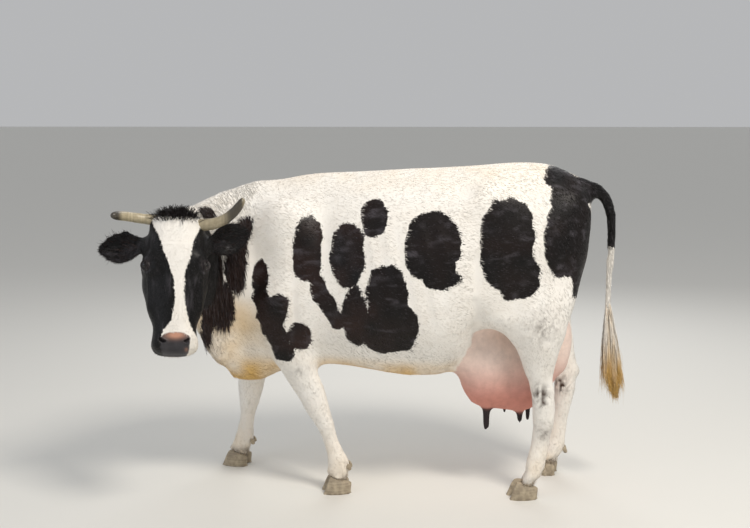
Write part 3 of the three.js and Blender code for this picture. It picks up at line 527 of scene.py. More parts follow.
# %% The head's bones, mouth and nostrils
head = in_head(points)
side, at, front = head.T
folded = np.column_stack([abs(side), at, front])
on_head = rise(region["head"], 0.3, 0.7)
push = np.zeros(len(points))
for centre, radii, height in (
    ((104, 128, -62), (22, 38, 24), -6),      # temple
    ((98, 168, -22), (22, 18, 22), 5),        # brow
    ((50, 300, -8), (16, 95, 18), -4),        # beside the nose bone
    ((112, 250, -150), (50, 95, 70), 12),      # chewing muscle
    ((88, 370, -95), (40, 75, 50), 14),
    ((120, 196, -96), (34, 44, 26), 11),      # bone behind the eye
    ((52, 498, -40), (24, 22, 26), 4),        # over the nostril
    ((0, 505, -30), (20, 30, 20), -1.5),
    ((0, 552, -150), (45, 22, 26), 4),        # chin
    ((86, 440, -95), (20, 34, 26), -3),
):
    push += height * blob(folded, centre, radii) * on_head
push += 6 * ridge(folded, (100, 262, -62), (84, 372, -84), 11) * on_head
lip_line = -114 - 9 * rise(-at, -530, -455)
mouth = rise(at, 444, 466) * on_head
push += mouth * 3.0 * np.exp(-((front - lip_line - 10) / 9) ** 2)        # upper lip, then lower
push += mouth * 2.0 * np.exp(-((front - lip_line + 10) / 9) ** 2)
push -= mouth * 8.5 * np.exp(-((front - lip_line) / 3.6) ** 2)
brow_lines = np.sin(at / 9 + 1.6 * lattice_noise(head / 26, 6)) * rise(at, 30, 60) * rise(-at, -150, -110)
push += 0.5 * brow_lines * rise(front, -20, -2) * on_head
normals = normals_of(skin.data)
points += normals * push[:, None] * MM

head = in_head(points)
side, at, front = head.T
for turned in (1, -1):
    across, down = turned * side - 50, at - 508
    wide = 0.86 * across - 0.5 * down
    high = 0.5 * across + 0.86 * down
    bend = wide / 15.0
    inside = np.sqrt(bend ** 2 + ((high + 4.5 * bend ** 2) / 8.0) ** 2)
    shown = rise(front, -95, -70) * on_head
    rim = 2.4 * np.exp(-((inside - 1.3) / 0.28) ** 2) * shown
    hole = (1 - rise(inside, 0.45, 1.12)) * shown
    points += (hole * 21 * MM)[:, None] * head_way(-turned * 0.35, -0.35, -1)
    points += (rim * MM)[:, None] * head_way(turned * 0.3, 0, 1)

# %% Eyelids
EYE_FACING = {"left": head_way(0.70, 0.02, 0.71), "right": head_way(-0.70, 0.02, 0.71)}
EYE_ALONG = {}
for name, centre in EYES.items():
    facing = EYE_FACING[name]
    outward = 1 if name == "left" else -1
    along = head_way(outward * 0.1, 0.86, 0.5)
    along -= facing * (along @ facing)
    along /= np.linalg.norm(along)
    EYE_ALONG[name] = along
    across = np.cross(facing, along)
    arm = points - np.array(centre)
    reach = np.linalg.norm(arm, axis=1)
    unit = arm / reach[:, None]
    a, b, w = unit @ along, unit @ across, unit @ facing
    opening = np.sqrt((a / 0.80) ** 2 + (b / (0.52 * (1 - 0.40 * np.clip(a / 0.8, -1, 1) ** 2))) ** 2)
    lid = np.interp(opening, [0, 0.88, 1.0, 1.12, 1.45, 1.72, 2.0, 2.6],
                    [16.5, 17.0, 22.4, 24.2, 25.6, 22.8, 25.0, 26.0]) * MM
    hold = (1 - rise(opening, 1.9, 2.9)) * rise(w, -0.05, 0.25) * (reach < 0.05)
    points = points * (1 - hold[:, None]) + (np.array(centre) + unit * lid[:, None]) * hold[:, None]
set_points(skin.data, points)
activate(skin)
bpy.ops.object.shade_smooth()
print("skin box:", points.min(0).round(3), points.max(0).round(3))

# %% [markdown]
# ## The markings
# The hide carries black patches on white. They are named here as ellipses and bars on each side of
# the body, in millimetres, with the blaze in the head's own terms. Each point of the skin keeps a
# signed distance to the nearest edge, positive in black, so an edge stays sharp at any zoom and the
# coat can read the same value at each root.

# %% Patches: x, z, half width, half height, and how square the corners are
LEFT_PATCHES = (
    (-284, 1084, 64, 134, 2.3), (-110, 1067, 75, 135, 2.2), (6, 1229, 58, 74, 2.3),
    (252, 1108, 114, 142, 2.4), (282, 990, 80, 52, 2.2), (-72, 814, 60, 128, 2.2),
    (66, 862, 92, 182, 2.3), (96, 778, 102, 112, 2.3), (56, 745, 94, 88, 2.3),
    (-490, 962, 38, 84, 2.0), (-406, 838, 44, 62, 2.0), (-318, 715, 47, 55, 2.2),
    (558, 1122, 116, 198, 2.3), (606, 1000, 90, 112, 2.3), (826, 1150, 112, 168, 2.4),
    (826, 1290, 82, 112, 2.3), (862, 1010, 38, 112, 2.0), (900, 1335, 46, 60, 2.0),
    (-588, 1010, 40, 105, 2.2), (-656, 858, 50, 102, 2.2),
)
LEFT_BARS = (
    (-238, 938, -152, 786, 38), (-486, 880, -452, 800, 40), (-462, 800, -388, 650, 46),
    (762, 1402, 850, 1348, 44), (790, 1380, 815, 1260, 44), (-688, 1060, -700, 800, 34),
    (-694, 850, -736, 690, 26), (-600, 1100, -560, 1190, 34),
)
RIGHT_PATCHES = (
    (-190, 1130, 170, 150, 2.4), (-60, 1010, 120, 120, 2.2), (250, 960, 120, 150, 2.3),
    (360, 1225, 90, 80, 2.4), (640, 1080, 150, 190, 2.4), (-430, 900, 80, 150, 2.2),
    (70, 760, 70, 60, 2.2), (880, 1280, 50, 110, 2.2), (-640, 1010, 80, 170, 2.3),
)
RIGHT_BARS = ((-60, 1010, 60, 1250, 46), (560, 940, 690, 780, 52), (790, 1392, 860, 1340, 42))


def patch_depth(across, up, patches, bars):
    """How far inside the nearest patch a place is, in millimetres; negative outside."""
    best = np.full(len(across), -400.0)
    for x, z, half_x, half_z, square in patches:
        gap = (np.abs((across - x) / half_x) ** square + np.abs((up - z) / half_z) ** square) ** (1 / square)
        best = np.maximum(best, (1 - gap) * min(half_x, half_z))
    for x1, z1, x2, z2, half in bars:
        way = np.array([x2 - x1, z2 - z1], float)
        t = np.clip(((across - x1) * way[0] + (up - z1) * way[1]) / (way @ way), 0, 1)
        best = np.maximum(best, half - np.hypot(across - x1 - t * way[0], up - z1 - t * way[1]))
    return best


# %% The blaze: at, its right edge and its left edge
BLAZE = np.array([
    [0, -104, 116], [5, -99, 112], [50, -84, 95], [105, -62, 72], [187, -33, 54], [248, -9, 35],
    [347, -1, 34], [425, -12, 55], [463, -46, 72], [490, -50, 90], [505, -46, 94], [540, -42, 110],
    [570, -38, 110]], float)


def hide_marks(spots, weights):
    """Signed distance to the nearest edge of black, in millimetres."""
    mm = spots / MM
    wobble = 9 * lattice_noise(mm / 55, 11) + 5 * lattice_noise(mm / 21, 12) + 2.5 * lattice_noise(mm / 9, 13)
    neck_y = np.interp(mm[:, 0], [-810, -752, -624], [-273, -33, 157])
    left = patch_depth(mm[:, 0], mm[:, 2], LEFT_PATCHES, LEFT_BARS)
    right = patch_depth(mm[:, 0], mm[:, 2], RIGHT_PATCHES, RIGHT_BARS)
    notch = 17 - np.hypot(mm[:, 0] + 38, (mm[:, 2] - 955) / 3.4)
    left = np.minimum(left, -notch)
    body = np.where(mm[:, 1] < neck_y, left, right) + wobble
    crest = 40 - gap_to(mm, (-702, -128, 1252))
    body = np.maximum(body, crest + 0.5 * wobble)
    side, at, front = in_head(spots).T
    right_edge = np.interp(at, BLAZE[:, 0], BLAZE[:, 1])
    left_edge = np.interp(at, BLAZE[:, 0], BLAZE[:, 2])
    face = np.maximum(np.maximum(right_edge - side, side - left_edge), 5 - at)
    behind = -(front + 118)                       # the blaze stays on the front of the face
    face = np.maximum(face, np.where(at < 470, behind, -400))
    face = face + 0.35 * wobble
    tail = np.clip(mm[:, 2] - 1088, -60, 60)
    legs = np.where(mm[:, 2] > 560, body, -60)
    names = by_name(weights)
    mark = (np.clip(body, -60, 60) * (names["trunk"] + names["neck"]) + np.clip(legs, -60, 60) * names["leg"]
            + np.clip(face, -60, 60) * names["head"] + 60 * names["ear"] + tail * names["tail"]
            - 60 * names["udder"])
    return mark


mark = hide_marks(points, share)
print("black share of the points:", round(float((mark > 0).mean()), 3))

# %% Stains, browns, bare skin and dirt, each from 0 to 1; the belly's yellow is also painted shade, the browns partly painted sheen
def hide_tints(spots, weights):
    """The other things the hide shows, one value of each per place."""
    mm = spots / MM
    side, at, front = in_head(spots).T
    names = by_name(weights)
    patchy = 0.5 + 0.5 * lattice_noise(mm / 70, 21)
    streak = 0.5 + 0.5 * lattice_noise(mm / (16, 16, 90), 22)
    throat = blob(mm, (-640, -150, 740), (150, 190, 150)) * rise(-mm[:, 2], -980, -800)
    # Under the belly the yellow is partly a real stain and partly painted shade.
    belly_stain_and_shade = rise(-mm[:, 2], -640, -530) * (names["trunk"] + names["neck"])
    edge = np.exp(-(np.hypot((mm[:, 0] + 540) / 90, (mm[:, 2] - 790) / 90) - 1) ** 2 / 0.25)
    stain_and_shade = 1.1 * throat * (0.25 + 0.9 * patchy) + belly_stain_and_shade * (0.25 + 0.75 * patchy)
    stain_and_shade += 0.35 * edge * streak * names["neck"]
    stain_and_shade += 0.20 * rise(mm[:, 2], 1300, 1420) * patchy * names["trunk"]
    stain_and_shade += 0.35 * names["leg"] * rise(-mm[:, 2], -330, -120) * patchy
    stain_and_shade += 0.9 * names["tail"] * rise(-mm[:, 2], -760, -640)
    # Brown in the black hair. On the crest and in the locks it is real brown hair. On the neck and forepart
    # it is partly brown hair and partly painted sunlit sheen.
    brown_and_sheen = 0.75 * names["neck"] * streak
    brown_and_sheen += names["trunk"] * patchy * (0.25 + 0.5 * rise(-mm[:, 0], -120, 120))
    brown_and_sheen = np.maximum(brown_and_sheen, 0.7 * blob(mm, (-706, -135, 1268), (70, 90, 60)))
    dirt = 2.2 * blob(mm, (713, -54, 462), (27, 60, 46)) + 1.9 * blob(mm, (840, 275, 437), (27, 60, 38))
    dirt += 0.8 * rise(-mm[:, 2], -110, -60) * (names["leg"] > 0.4)
    dirt += 0.6 * blob(mm, (735, -35, 300), (40, 60, 40)) + 0.8 * blob(mm, (-315, -32, 560), (35, 50, 22))
    dirt += 0.45 * blob(mm, (710, -120, 780), (60, 90, 80))
    dirt = np.clip(dirt * (0.55 + 1.3 * lattice_noise(mm / 13, 23)) * (0.6 + 0.6 * patchy), 0, 1)
    # The pad's slate runs down the lower muzzle. Below at 531 it is dark muzzle skin and also painted shade
    # under the mouth.
    pad_half = np.interp(at, [468, 480, 500, 531, 548, 562], [22, 50, 58, 56, 52, 44])
    pad_gap = np.maximum(np.abs(side - 2) - pad_half, 473 + ((side - 2) / 15) ** 2 - at)
    pad_gap = pad_gap + 2.5 * lattice_noise(mm / 9, 24)
    nose = rise(-pad_gap, -3.0, 3.0) * rise(front, -128, -100) * names["head"] * (at > 400)
    # The bare lid rims. Their colour, paler than the black hair, is partly lid skin and partly a painted
    # highlight.
    rims = np.zeros(len(spots))
    for centre in EYES.values():
        rims = np.maximum(rims, rise(-gap_to(spots, centre), -0.0262, -0.0248))
    teats = np.zeros(len(spots))
    for node in TEATS:
        low, high = np.array(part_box(node)[0]), np.array(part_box(node)[1])
        gap = np.linalg.norm(spots[:, :2] - (low + high)[:2] / 2, axis=1)
        teats = np.maximum(teats, rise(-gap, -0.032, -0.026) * rise(high[2] - spots[:, 2], 0.006, 0.022))
    on_pad = np.column_stack([side, at])
    pink = 1.25 * blob(on_pad, (3, 484), (34, 15)) * (0.8 + 0.5 * patchy)
    pink += 0.4 * blob(on_pad, (46, 541), (7, 7))
    return {
        "stain_and_shade": np.clip(stain_and_shade, 0, 1), "brown_and_sheen": np.clip(brown_and_sheen, 0, 1), "dirt": dirt,
        "udder": rise(names["udder"], 0.45, 0.62), "nose": nose, "rim": rims * names["head"],
        "nose_pink": np.clip(pink, 0, 1), "teat": teats, "low_udder": rise(-mm[:, 2], -640, -400),
    }


tints = hide_tints(points, share)


def give_values(mesh, values):
    """Stores each named value on the mesh's points, where a material can read it."""
    for name, value in values.items():
        attribute = mesh.attributes.get(name) or mesh.attributes.new(name, "FLOAT", "POINT")
        attribute.data.foreach_set("value", np.asarray(value, dtype=np.float32))


# Painted sheen for the coat. On the face, long streaks of lighter hair stand in for gloss. On the body, noise
# streaks and a lighter top (from the normal's upward part) are painted light. The hide's tone value carries
# this painted sheen along with its tone.
shine = np.where(region["head"] > 0.5, 0.7 * lattice_noise(in_head(points) / (7, 45, 9), 31)
                 + 0.6 * lattice_noise(in_head(points) / (22, 90, 30), 33),
                 lattice_noise(points / (0.035, 0.014, 0.014), 32)
                 + 0.5 * lattice_noise(points / (0.09, 0.04, 0.04), 34) + 0.35 * normals[:, 2])
for centre in EYES.values():                      # a painted highlight round the lids
    shine += 0.9 * np.exp(-((gap_to(points, centre) - 0.031) / 0.006) ** 2)
give_values(skin.data, {"mark": mark, "tone_and_sheen": 0.5 + 0.35 * shine, **tints})
print({name: round(float(value.mean()), 3) for name, value in tints.items()})

# %% [markdown]
# ## The hide's material
# Cow hair is a translucent fibre over skin: black hair is a very dark brown and white hair is a warm cream.
# The black's cool gloss is a painted sheen, a lighter grey mixed in by the tone value, which also paints
# light and shade on the white. One recipe serves the skin and the tufts, so both carry the same
# patches. Only the skin adds the bare parts: the pink udder, the teats and the moist nose pad.

# %% Hair and bare skin
HAIR_GRAIN_MM = 2.0      # real hairs are 0.05 mm; this is as fine as shows at this size


def build_hide(name, with_skin):
    """The coat's colours with their painted sheen; with_skin adds udder, teats, nose pad, lids with a painted
    highlight, and a deeper bump.
    """
    material, tree, shader = new_material(name)
    value = {key: add_node(tree, "Attribute", attribute_name=key).outputs["Fac"] for key in
             ["mark", "tone_and_sheen", "brown_and_sheen", "stain_and_shade", "dirt"]}
    place = add_node(tree, "TexCoord").outputs["Object"]
    grain = add_node(tree, "TexNoise", {"Scale": 1000 / (HAIR_GRAIN_MM * 3), "Detail": 3.0},
                     {"Vector": place}).outputs["Fac"]
    cloud = add_node(tree, "TexNoise", {"Scale": 14.0, "Detail": 4.0, "Roughness": 0.6},
                     {"Vector": place}).outputs["Fac"]
    ragged = add_node(tree, "MapRange", {"From Min": 0.3, "From Max": 0.7, "To Min": -4.0, "To Max": 4.0},
                      {"Value": grain}).outputs["Result"]
    depth = add_node(tree, "Math", None, {0: value["mark"], 1: ragged}, operation="ADD").outputs["Value"]
    is_black = add_node(tree, "MapRange", {"From Min": -1.6, "From Max": 1.6}, {"Value": depth},
                        interpolation_type="SMOOTHSTEP").outputs["Result"]
    # The blacks turn browner with the brown value: partly brown hair, partly painted sunlit sheen.
    blacks = add_node(tree, "Mix", {"A": linear("#080707"), "B": linear("#33201A")},
                      {"Factor": value["brown_and_sheen"]},
                      data_type="RGBA").outputs["Result"]
    # Painted sheen: where the tone value is high, a cool grey is mixed into the black hair, standing in for
    # the gloss of lit hair.
    painted_sheen_on_black = add_node(tree, "MapRange", {"From Min": 0.52, "From Max": 1.0, "To Max": 0.55},
                   {"Value": value["tone_and_sheen"]},
                   interpolation_type="SMOOTHSTEP").outputs["Result"]
    blacks = add_node(tree, "Mix", {"B": linear("#5A565C")}, {"Factor": painted_sheen_on_black, "A": blacks},
                      data_type="RGBA").outputs["Result"]
    whites = add_node(tree, "Mix", {"A": linear("#EEE8DF"), "B": linear("#FBF9F4")}, {"Factor": cloud},
                      data_type="RGBA").outputs["Result"]
    # A yellow stain, which under the belly is also painted shade, then dirt.
    for over, hex_colour in ((value["stain_and_shade"], "#E2BA70"), (value["dirt"], "#43332A")):
        whites = add_node(tree, "Mix", {"B": linear(hex_colour)}, {"Factor": over, "A": whites},
                          data_type="RGBA").outputs["Result"]
    # The whites darken or lighten a little with the tone value. On the tufts this is random tone. On the skin
    # it is painted shade on faces turned down and painted light on top and round the lids.
    white_tone_and_sheen = add_node(tree, "MapRange", {"To Min": 0.94, "To Max": 1.02},
                          {"Value": value["tone_and_sheen"]}).outputs["Result"]
    whites = add_node(tree, "Mix", {"Factor": 1.0}, {"A": whites, "B": white_tone_and_sheen}, data_type="RGBA",
                      blend_type="MULTIPLY").outputs["Result"]
    colour = add_node(tree, "Mix", None, {"Factor": is_black, "A": whites, "B": blacks},
                      data_type="RGBA").outputs["Result"]
    rough = add_node(tree, "MapRange", {"To Min": 0.72, "To Max": 0.42},
                     {"Value": is_black}).outputs["Result"]
    if with_skin:
        extra = {key: add_node(tree, "Attribute", attribute_name=key).outputs["Fac"] for key in
                 ["udder", "teat", "low_udder", "nose", "nose_pink", "rim"]}
        blotch = add_node(tree, "TexNoise", {"Scale": 30.0, "Detail": 5.0, "Roughness": 0.65},
                          {"Vector": place}).outputs["Fac"]
        pinker = add_node(tree, "Mix", {"A": linear("#EBD6CB"), "B": linear("#D08E80")},
                          {"Factor": extra["low_udder"]}, data_type="RGBA").outputs["Result"]
        mottle = add_node(tree, "MapRange",
                          {"From Min": 0.3, "From Max": 0.7, "To Min": 0.86, "To Max": 1.05},
                          {"Value": blotch}).outputs["Result"]
        udder_skin = add_node(tree, "Mix", {"Factor": 1.0}, {"A": pinker, "B": mottle}, data_type="RGBA",
                              blend_type="MULTIPLY").outputs["Result"]
        udder_skin = add_node(tree, "Mix", {"B": linear("#2A2224")},
                              {"Factor": extra["teat"], "A": udder_skin},
                              data_type="RGBA").outputs["Result"]
        colour = add_node(tree, "Mix", None, {"Factor": extra["udder"], "A": colour, "B": udder_skin},
                          data_type="RGBA").outputs["Result"]
        slate = add_node(tree, "Mix", {"A": linear("#1B1A1D"), "B": linear("#4A484C")}, {"Factor": blotch},
                         data_type="RGBA").outputs["Result"]
        pad = add_node(tree, "Mix", {"B": linear("#C2917A")}, {"Factor": extra["nose_pink"], "A": slate},
                       data_type="RGBA").outputs["Result"]
        colour = add_node(tree, "Mix", None, {"Factor": extra["nose"], "A": colour, "B": pad},
                          data_type="RGBA").outputs["Result"]
        # The lid rims: dark lid skin made paler than the black hair, partly a painted highlight.
        colour = add_node(tree, "Mix", {"B": linear("#2A2526")}, {"Factor": extra["rim"], "A": colour},
                          data_type="RGBA").outputs["Result"]
        bare = add_node(tree, "Math", None, {0: extra["nose"], 1: extra["rim"]},
                        operation="MAXIMUM").outputs["Value"]
        rough = add_node(tree, "Mix", {"B": 0.42}, {"Factor": bare, "A": rough},
                         data_type="FLOAT").outputs["Result"]
        pebbles = add_node(tree, "TexVoronoi", {"Scale": 1000 / 3.2}, {"Vector": place},
                           feature="DISTANCE_TO_EDGE")
        pebble = add_node(tree, "Math", {1: 0.9}, {0: pebbles.outputs["Distance"]},
                          operation="MULTIPLY").outputs["Value"]
        height = add_node(tree, "Mix", None, {"Factor": extra["nose"], "A": grain, "B": pebble},
                          data_type="FLOAT").outputs["Result"]
        bump = add_node(tree, "Bump", {"Strength": 0.5, "Distance": 0.0014}, {"Height": height})
    else:
        bump = add_node(tree, "Bump", {"Strength": 0.3, "Distance": 0.0008}, {"Height": grain})
    wire(tree, shader,
         {"IOR": 1.55, "Specular IOR Level": 0.22, "Sheen Weight": 0.04, "Sheen Roughness": 0.4},
         {"Base Color": colour, "Roughness": rough, "Normal": bump.outputs["Normal"]})
    return material


skin.data.materials.append(build_hide("cow_hide_and_bare_skin", True))
hair_coat = build_hide("cow_hair_tufts", False)
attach(skin, "root")
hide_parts(*FLESH)

# %% [markdown]
# ## Eyes
# A cow's eye is a wet ball nearly 40 mm across, almost black, with a dark brown iris and a pupil that
# is a lying oval. Each ball starts as a sphere whose front is swelled into a cornea; each point keeps
# its place in the eye's own directions, so one material paints both eyes.


# %% Eye balls
def smooth_shell(node, name, levels=2):
    """A smooth copy of one CAD node: merged, then subdivided."""
    piece = copy_of([node], name)
    apply_modifier(piece, "SUBSURF", levels=levels, render_levels=levels)
    return piece


wet_eye, tree, shader = new_material("wet_dark_eye")
gaze = add_node(tree, "Attribute", attribute_name="gaze").outputs["Vector"]
axes = add_node(tree, "SeparateXYZ", None, {"Vector": gaze})
ellipse = {}
for label, half_long, half_high in (("iris", 11.0, 10.0), ("pupil", 6.5, 3.6)):
    long_part = add_node(tree, "Math", {1: half_long}, {0: axes.outputs["X"]},
                         operation="DIVIDE").outputs["Value"]
    high_part = add_node(tree, "Math", {1: half_high}, {0: axes.outputs["Y"]},
                         operation="DIVIDE").outputs["Value"]
    flat = add_node(tree, "CombineXYZ", None, {"X": long_part, "Y": high_part}).outputs["Vector"]
    ellipse[label] = add_node(tree, "VectorMath", None, {0: flat}, operation="LENGTH").outputs["Value"]
fibres = add_node(tree, "TexNoise", {"Scale": 1.1, "Detail": 4.0}, {"Vector": gaze}).outputs["Fac"]
iris = add_node(tree, "Mix", {"A": linear("#070405"), "B": linear("#1B100A")}, {"Factor": fibres},
                data_type="RGBA").outputs["Result"]
outside = add_node(tree, "MapRange", {"From Min": 0.92, "From Max": 1.10},
                   {"Value": ellipse["iris"]}).outputs["Result"]
ball_colour = add_node(tree, "Mix", {"B": linear("#120D0B")}, {"Factor": outside, "A": iris},
                        data_type="RGBA").outputs["Result"]
in_pupil = add_node(tree, "MapRange", {"From Min": 1.05, "From Max": 0.9},
                    {"Value": ellipse["pupil"]}).outputs["Result"]
final = add_node(tree, "Mix", {"B": linear("#04040A")}, {"Factor": in_pupil, "A": ball_colour},
                 data_type="RGBA").outputs["Result"]
wire(tree, shader, {"Roughness": 0.12, "IOR": 1.38, "Specular IOR Level": 0.25, "Coat Weight": 0.7,
                    "Coat Roughness": 0.03}, {"Base Color": final})

for name, centre in EYES.items():
    deselect()
    bpy.ops.mesh.primitive_uv_sphere_add(segments=48, ring_count=24, radius=EYE_RADIUS, location=centre)
    ball = bpy.context.object
    ball.name = ball.data.name = name + "_eye_ball"
    bpy.ops.object.transform_apply(location=True, rotation=True, scale=True)
    spots = points_of(ball.data)
    arm = spots - np.array(centre)
    facing, along = EYE_FACING[name], EYE_ALONG[name]
    swell = rise(arm @ facing / EYE_RADIUS, 0.72, 1.0)
    set_points(ball.data, spots + arm * 0.07 * swell[:, None])
    gaze_values = np.column_stack([arm @ along, arm @ np.cross(facing, along), arm @ facing]) / MM
    attribute = ball.data.attributes.new("gaze", "FLOAT_VECTOR", "POINT")
    attribute.data.foreach_set("vector", gaze_values.astype(np.float32).ravel())
    bpy.ops.object.shade_smooth()
    ball.data.materials.append(wet_eye)
    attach(ball, "root")
    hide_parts("eye_" + name)
print("eye balls:", EYE_RADIUS * 2 / MM, "mm")

# %% [markdown]
# ## Horns
# A horn is a keratin sheath over bone: pale and ringed near the skull, darker and polished towards
# the tip. Each packed horn is copied, subdivided and given growth rings along its own length.

# %% Horn sheaths
horn_sheath, tree, shader = new_material("horn_keratin_sheath")
along_horn = add_node(tree, "Attribute", attribute_name="along").outputs["Fac"]
dark_end = add_node(tree, "Attribute", attribute_name="dark_end").outputs["Fac"]
place = add_node(tree, "TexCoord").outputs["Object"]
streaks = add_node(tree, "TexNoise", {"Scale": 55.0, "Detail": 5.0, "Roughness": 0.6},
                   {"Vector": place}).outputs["Fac"]
rings = add_node(tree, "TexNoise", {"Scale": 26.0, "Detail": 2.0}, {"W": along_horn},
                 noise_dimensions="1D").outputs["Fac"]
pale = add_node(tree, "Mix", {"A": linear("#8A7D60"), "B": linear("#CFC3A6")}, {"Factor": streaks},
                data_type="RGBA").outputs["Result"]
ringed = add_node(tree, "MapRange", {"From Min": 0.35, "From Max": 0.65, "To Min": 0.84, "To Max": 1.06},
                  {"Value": rings}).outputs["Result"]
pale = add_node(tree, "Mix", {"Factor": 1.0}, {"A": pale, "B": ringed}, data_type="RGBA",
                blend_type="MULTIPLY").outputs["Result"]
colour = add_node(tree, "Mix", {"B": linear("#1F1B1A")}, {"Factor": dark_end, "A": pale},
                  data_type="RGBA").outputs["Result"]
bump = add_node(tree, "Bump", {"Strength": 0.6, "Distance": 0.0012}, {"Height": rings})
wire(tree, shader, {"Roughness": 0.38, "IOR": 1.54}, {"Base Color": colour, "Normal": bump.outputs["Normal"]})

for name, turned in (("left", 1), ("right", -1)):
    horn = smooth_shell("horn_" + name, name + "_horn_sheath")
    spots, links = points_of(horn.data), edges_of(horn.data)
    spots = smooth(spots, links, 8, 0.4)
    swell = 4.0 if name == "left" else 2.0
    reach = in_head(spots)[:, 0] * turned
    share_out = (reach - reach.min()) / (reach.max() - reach.min())
    spots = spots - (turned * 24 * MM * (1 - rise(share_out, 0.0, 0.3)))[:, None] * head_way(1, 0.1, -0.1)
    rings_up = np.sin(share_out * 46) * (1 - rise(share_out, 0.35, 0.6)) * 0.7
    set_points(horn.data, spots)
    set_points(horn.data, spots + normals_of(horn.data) * (rings_up + swell)[:, None] * MM)
    if name == "left":
        dark = 0.25 + 0.75 * rise(share_out, 0.45, 0.72) * (1 - 0.75 * rise(share_out, 0.93, 0.97))
    else:
        dark = rise(share_out, 0.70, 0.86)
    give_values(horn.data, {"along": share_out, "dark_end": 0.9 * dark})
    activate(horn)
    bpy.ops.object.shade_smooth()
    horn.data.materials.append(horn_sheath)
    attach(horn, "root")
    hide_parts("horn_" + name)

# %% [markdown]
# ## Claws
# Each foot ends in two claws and two dewclaws of horn, ringed by growth and scuffed and dusty from
# the field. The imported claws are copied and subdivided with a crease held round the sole, so the
# sole stays flat on the floor.

# %% Claw horn
claw_horn, tree, shader = new_material("dusty_claw_horn")
place = add_node(tree, "TexCoord").outputs["Object"]
flat = add_node(tree, "Mapping", {"Scale": (6.0, 6.0, 150.0)}, {"Vector": place}).outputs["Vector"]
growth = add_node(tree, "TexNoise", {"Scale": 1.0, "Detail": 3.0}, {"Vector": flat}).outputs["Fac"]
dust = add_node(tree, "TexNoise", {"Scale": 45.0, "Detail": 5.0}, {"Vector": place}).outputs["Fac"]
wall = add_node(tree, "Mix", {"A": linear("#6E6152"), "B": linear("#B5A78F")}, {"Factor": growth},
                data_type="RGBA").outputs["Result"]
dusty = add_node(tree, "MapRange", {"From Min": 0.4, "From Max": 0.7, "To Max": 0.75},
                 {"Value": dust}).outputs["Result"]
colour = add_node(tree, "Mix", {"B": linear("#C2B49A")}, {"Factor": dusty, "A": wall},
                  data_type="RGBA").outputs["Result"]
bump = add_node(tree, "Bump", {"Strength": 0.7, "Distance": 0.0015}, {"Height": growth})
wire(tree, shader, {"Roughness": 0.62}, {"Base Color": colour, "Normal": bump.outputs["Normal"]})

for node in [name for name in NODES if "claw_" in name]:
    claw = copy_of([node], node + "_horn")
    spots, links = points_of(claw.data), edges_of(claw.data)
    on_sole = spots[:, 2] < 0.0004
    crease = claw.data.attributes.new("crease_edge", "FLOAT", "EDGE")
    crease.data.foreach_set("value", on_sole[links].all(axis=1).astype(np.float32))
    apply_modifier(claw, "SUBSURF", levels=2, render_levels=2)
    activate(claw)
    bpy.ops.object.shade_smooth()
    bpy.ops.object.shade_smooth_by_angle(angle=math.radians(50))
    claw.data.materials.append(claw_horn)
    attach(claw, "root")
    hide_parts(node)
print("claws and dewclaws:", sum("claw_" in name for name in NODES))

# %% [markdown]
# ## The coat
# The coat is short and lies flat, so most of it is bump; tufts of real mesh stand where it breaks
# the form. Particle hair would be quick to comb, but it isn't mesh. Here each tuft is a thin closed
# blade of ten triangles, bent along the lie of the coat, and numpy places tens of thousands at once.
# The lie is a direction field: back along the body, down the neck, flanks and legs, and down the
# face from the whorl on the forehead.

# %% An unwrap of the skin's own shape, for the roots
activate(skin)
bpy.ops.object.mode_set(mode="EDIT")
bpy.ops.mesh.select_all(action="SELECT")
bpy.ops.uv.smart_project(angle_limit=math.radians(70), island_margin=0.0)
bpy.ops.object.mode_set(mode="OBJECT")
mesh = skin.data
mesh.calc_loop_triangles()
count = len(mesh.loop_triangles)
corner_points, corner_loops = np.empty(count * 3, dtype=np.int32), np.empty(count * 3, dtype=np.int32)
mesh.loop_triangles.foreach_get("vertices", corner_points)
mesh.loop_triangles.foreach_get("loops", corner_loops)
corner_points, corner_loops = corner_points.reshape(-1, 3), corner_loops.reshape(-1, 3)
loop_uv = np.empty(len(mesh.loops) * 2)
mesh.uv_layers.active.data.foreach_get("uv", loop_uv)
loop_uv = loop_uv.reshape(-1, 2)
normals = normals_of(mesh)
points = points_of(mesh)
tri = points[corner_points]
tri_area = np.linalg.norm(np.cross(tri[:, 1] - tri[:, 0], tri[:, 2] - tri[:, 0]), axis=1) / 2
print("skin triangles:", count, "area m2:", round(float(tri_area.sum()), 2))


# %% The lie of the coat
def unit_rows(rows):
    return rows / np.maximum(np.linalg.norm(rows, axis=1), 1e-9)[:, None]


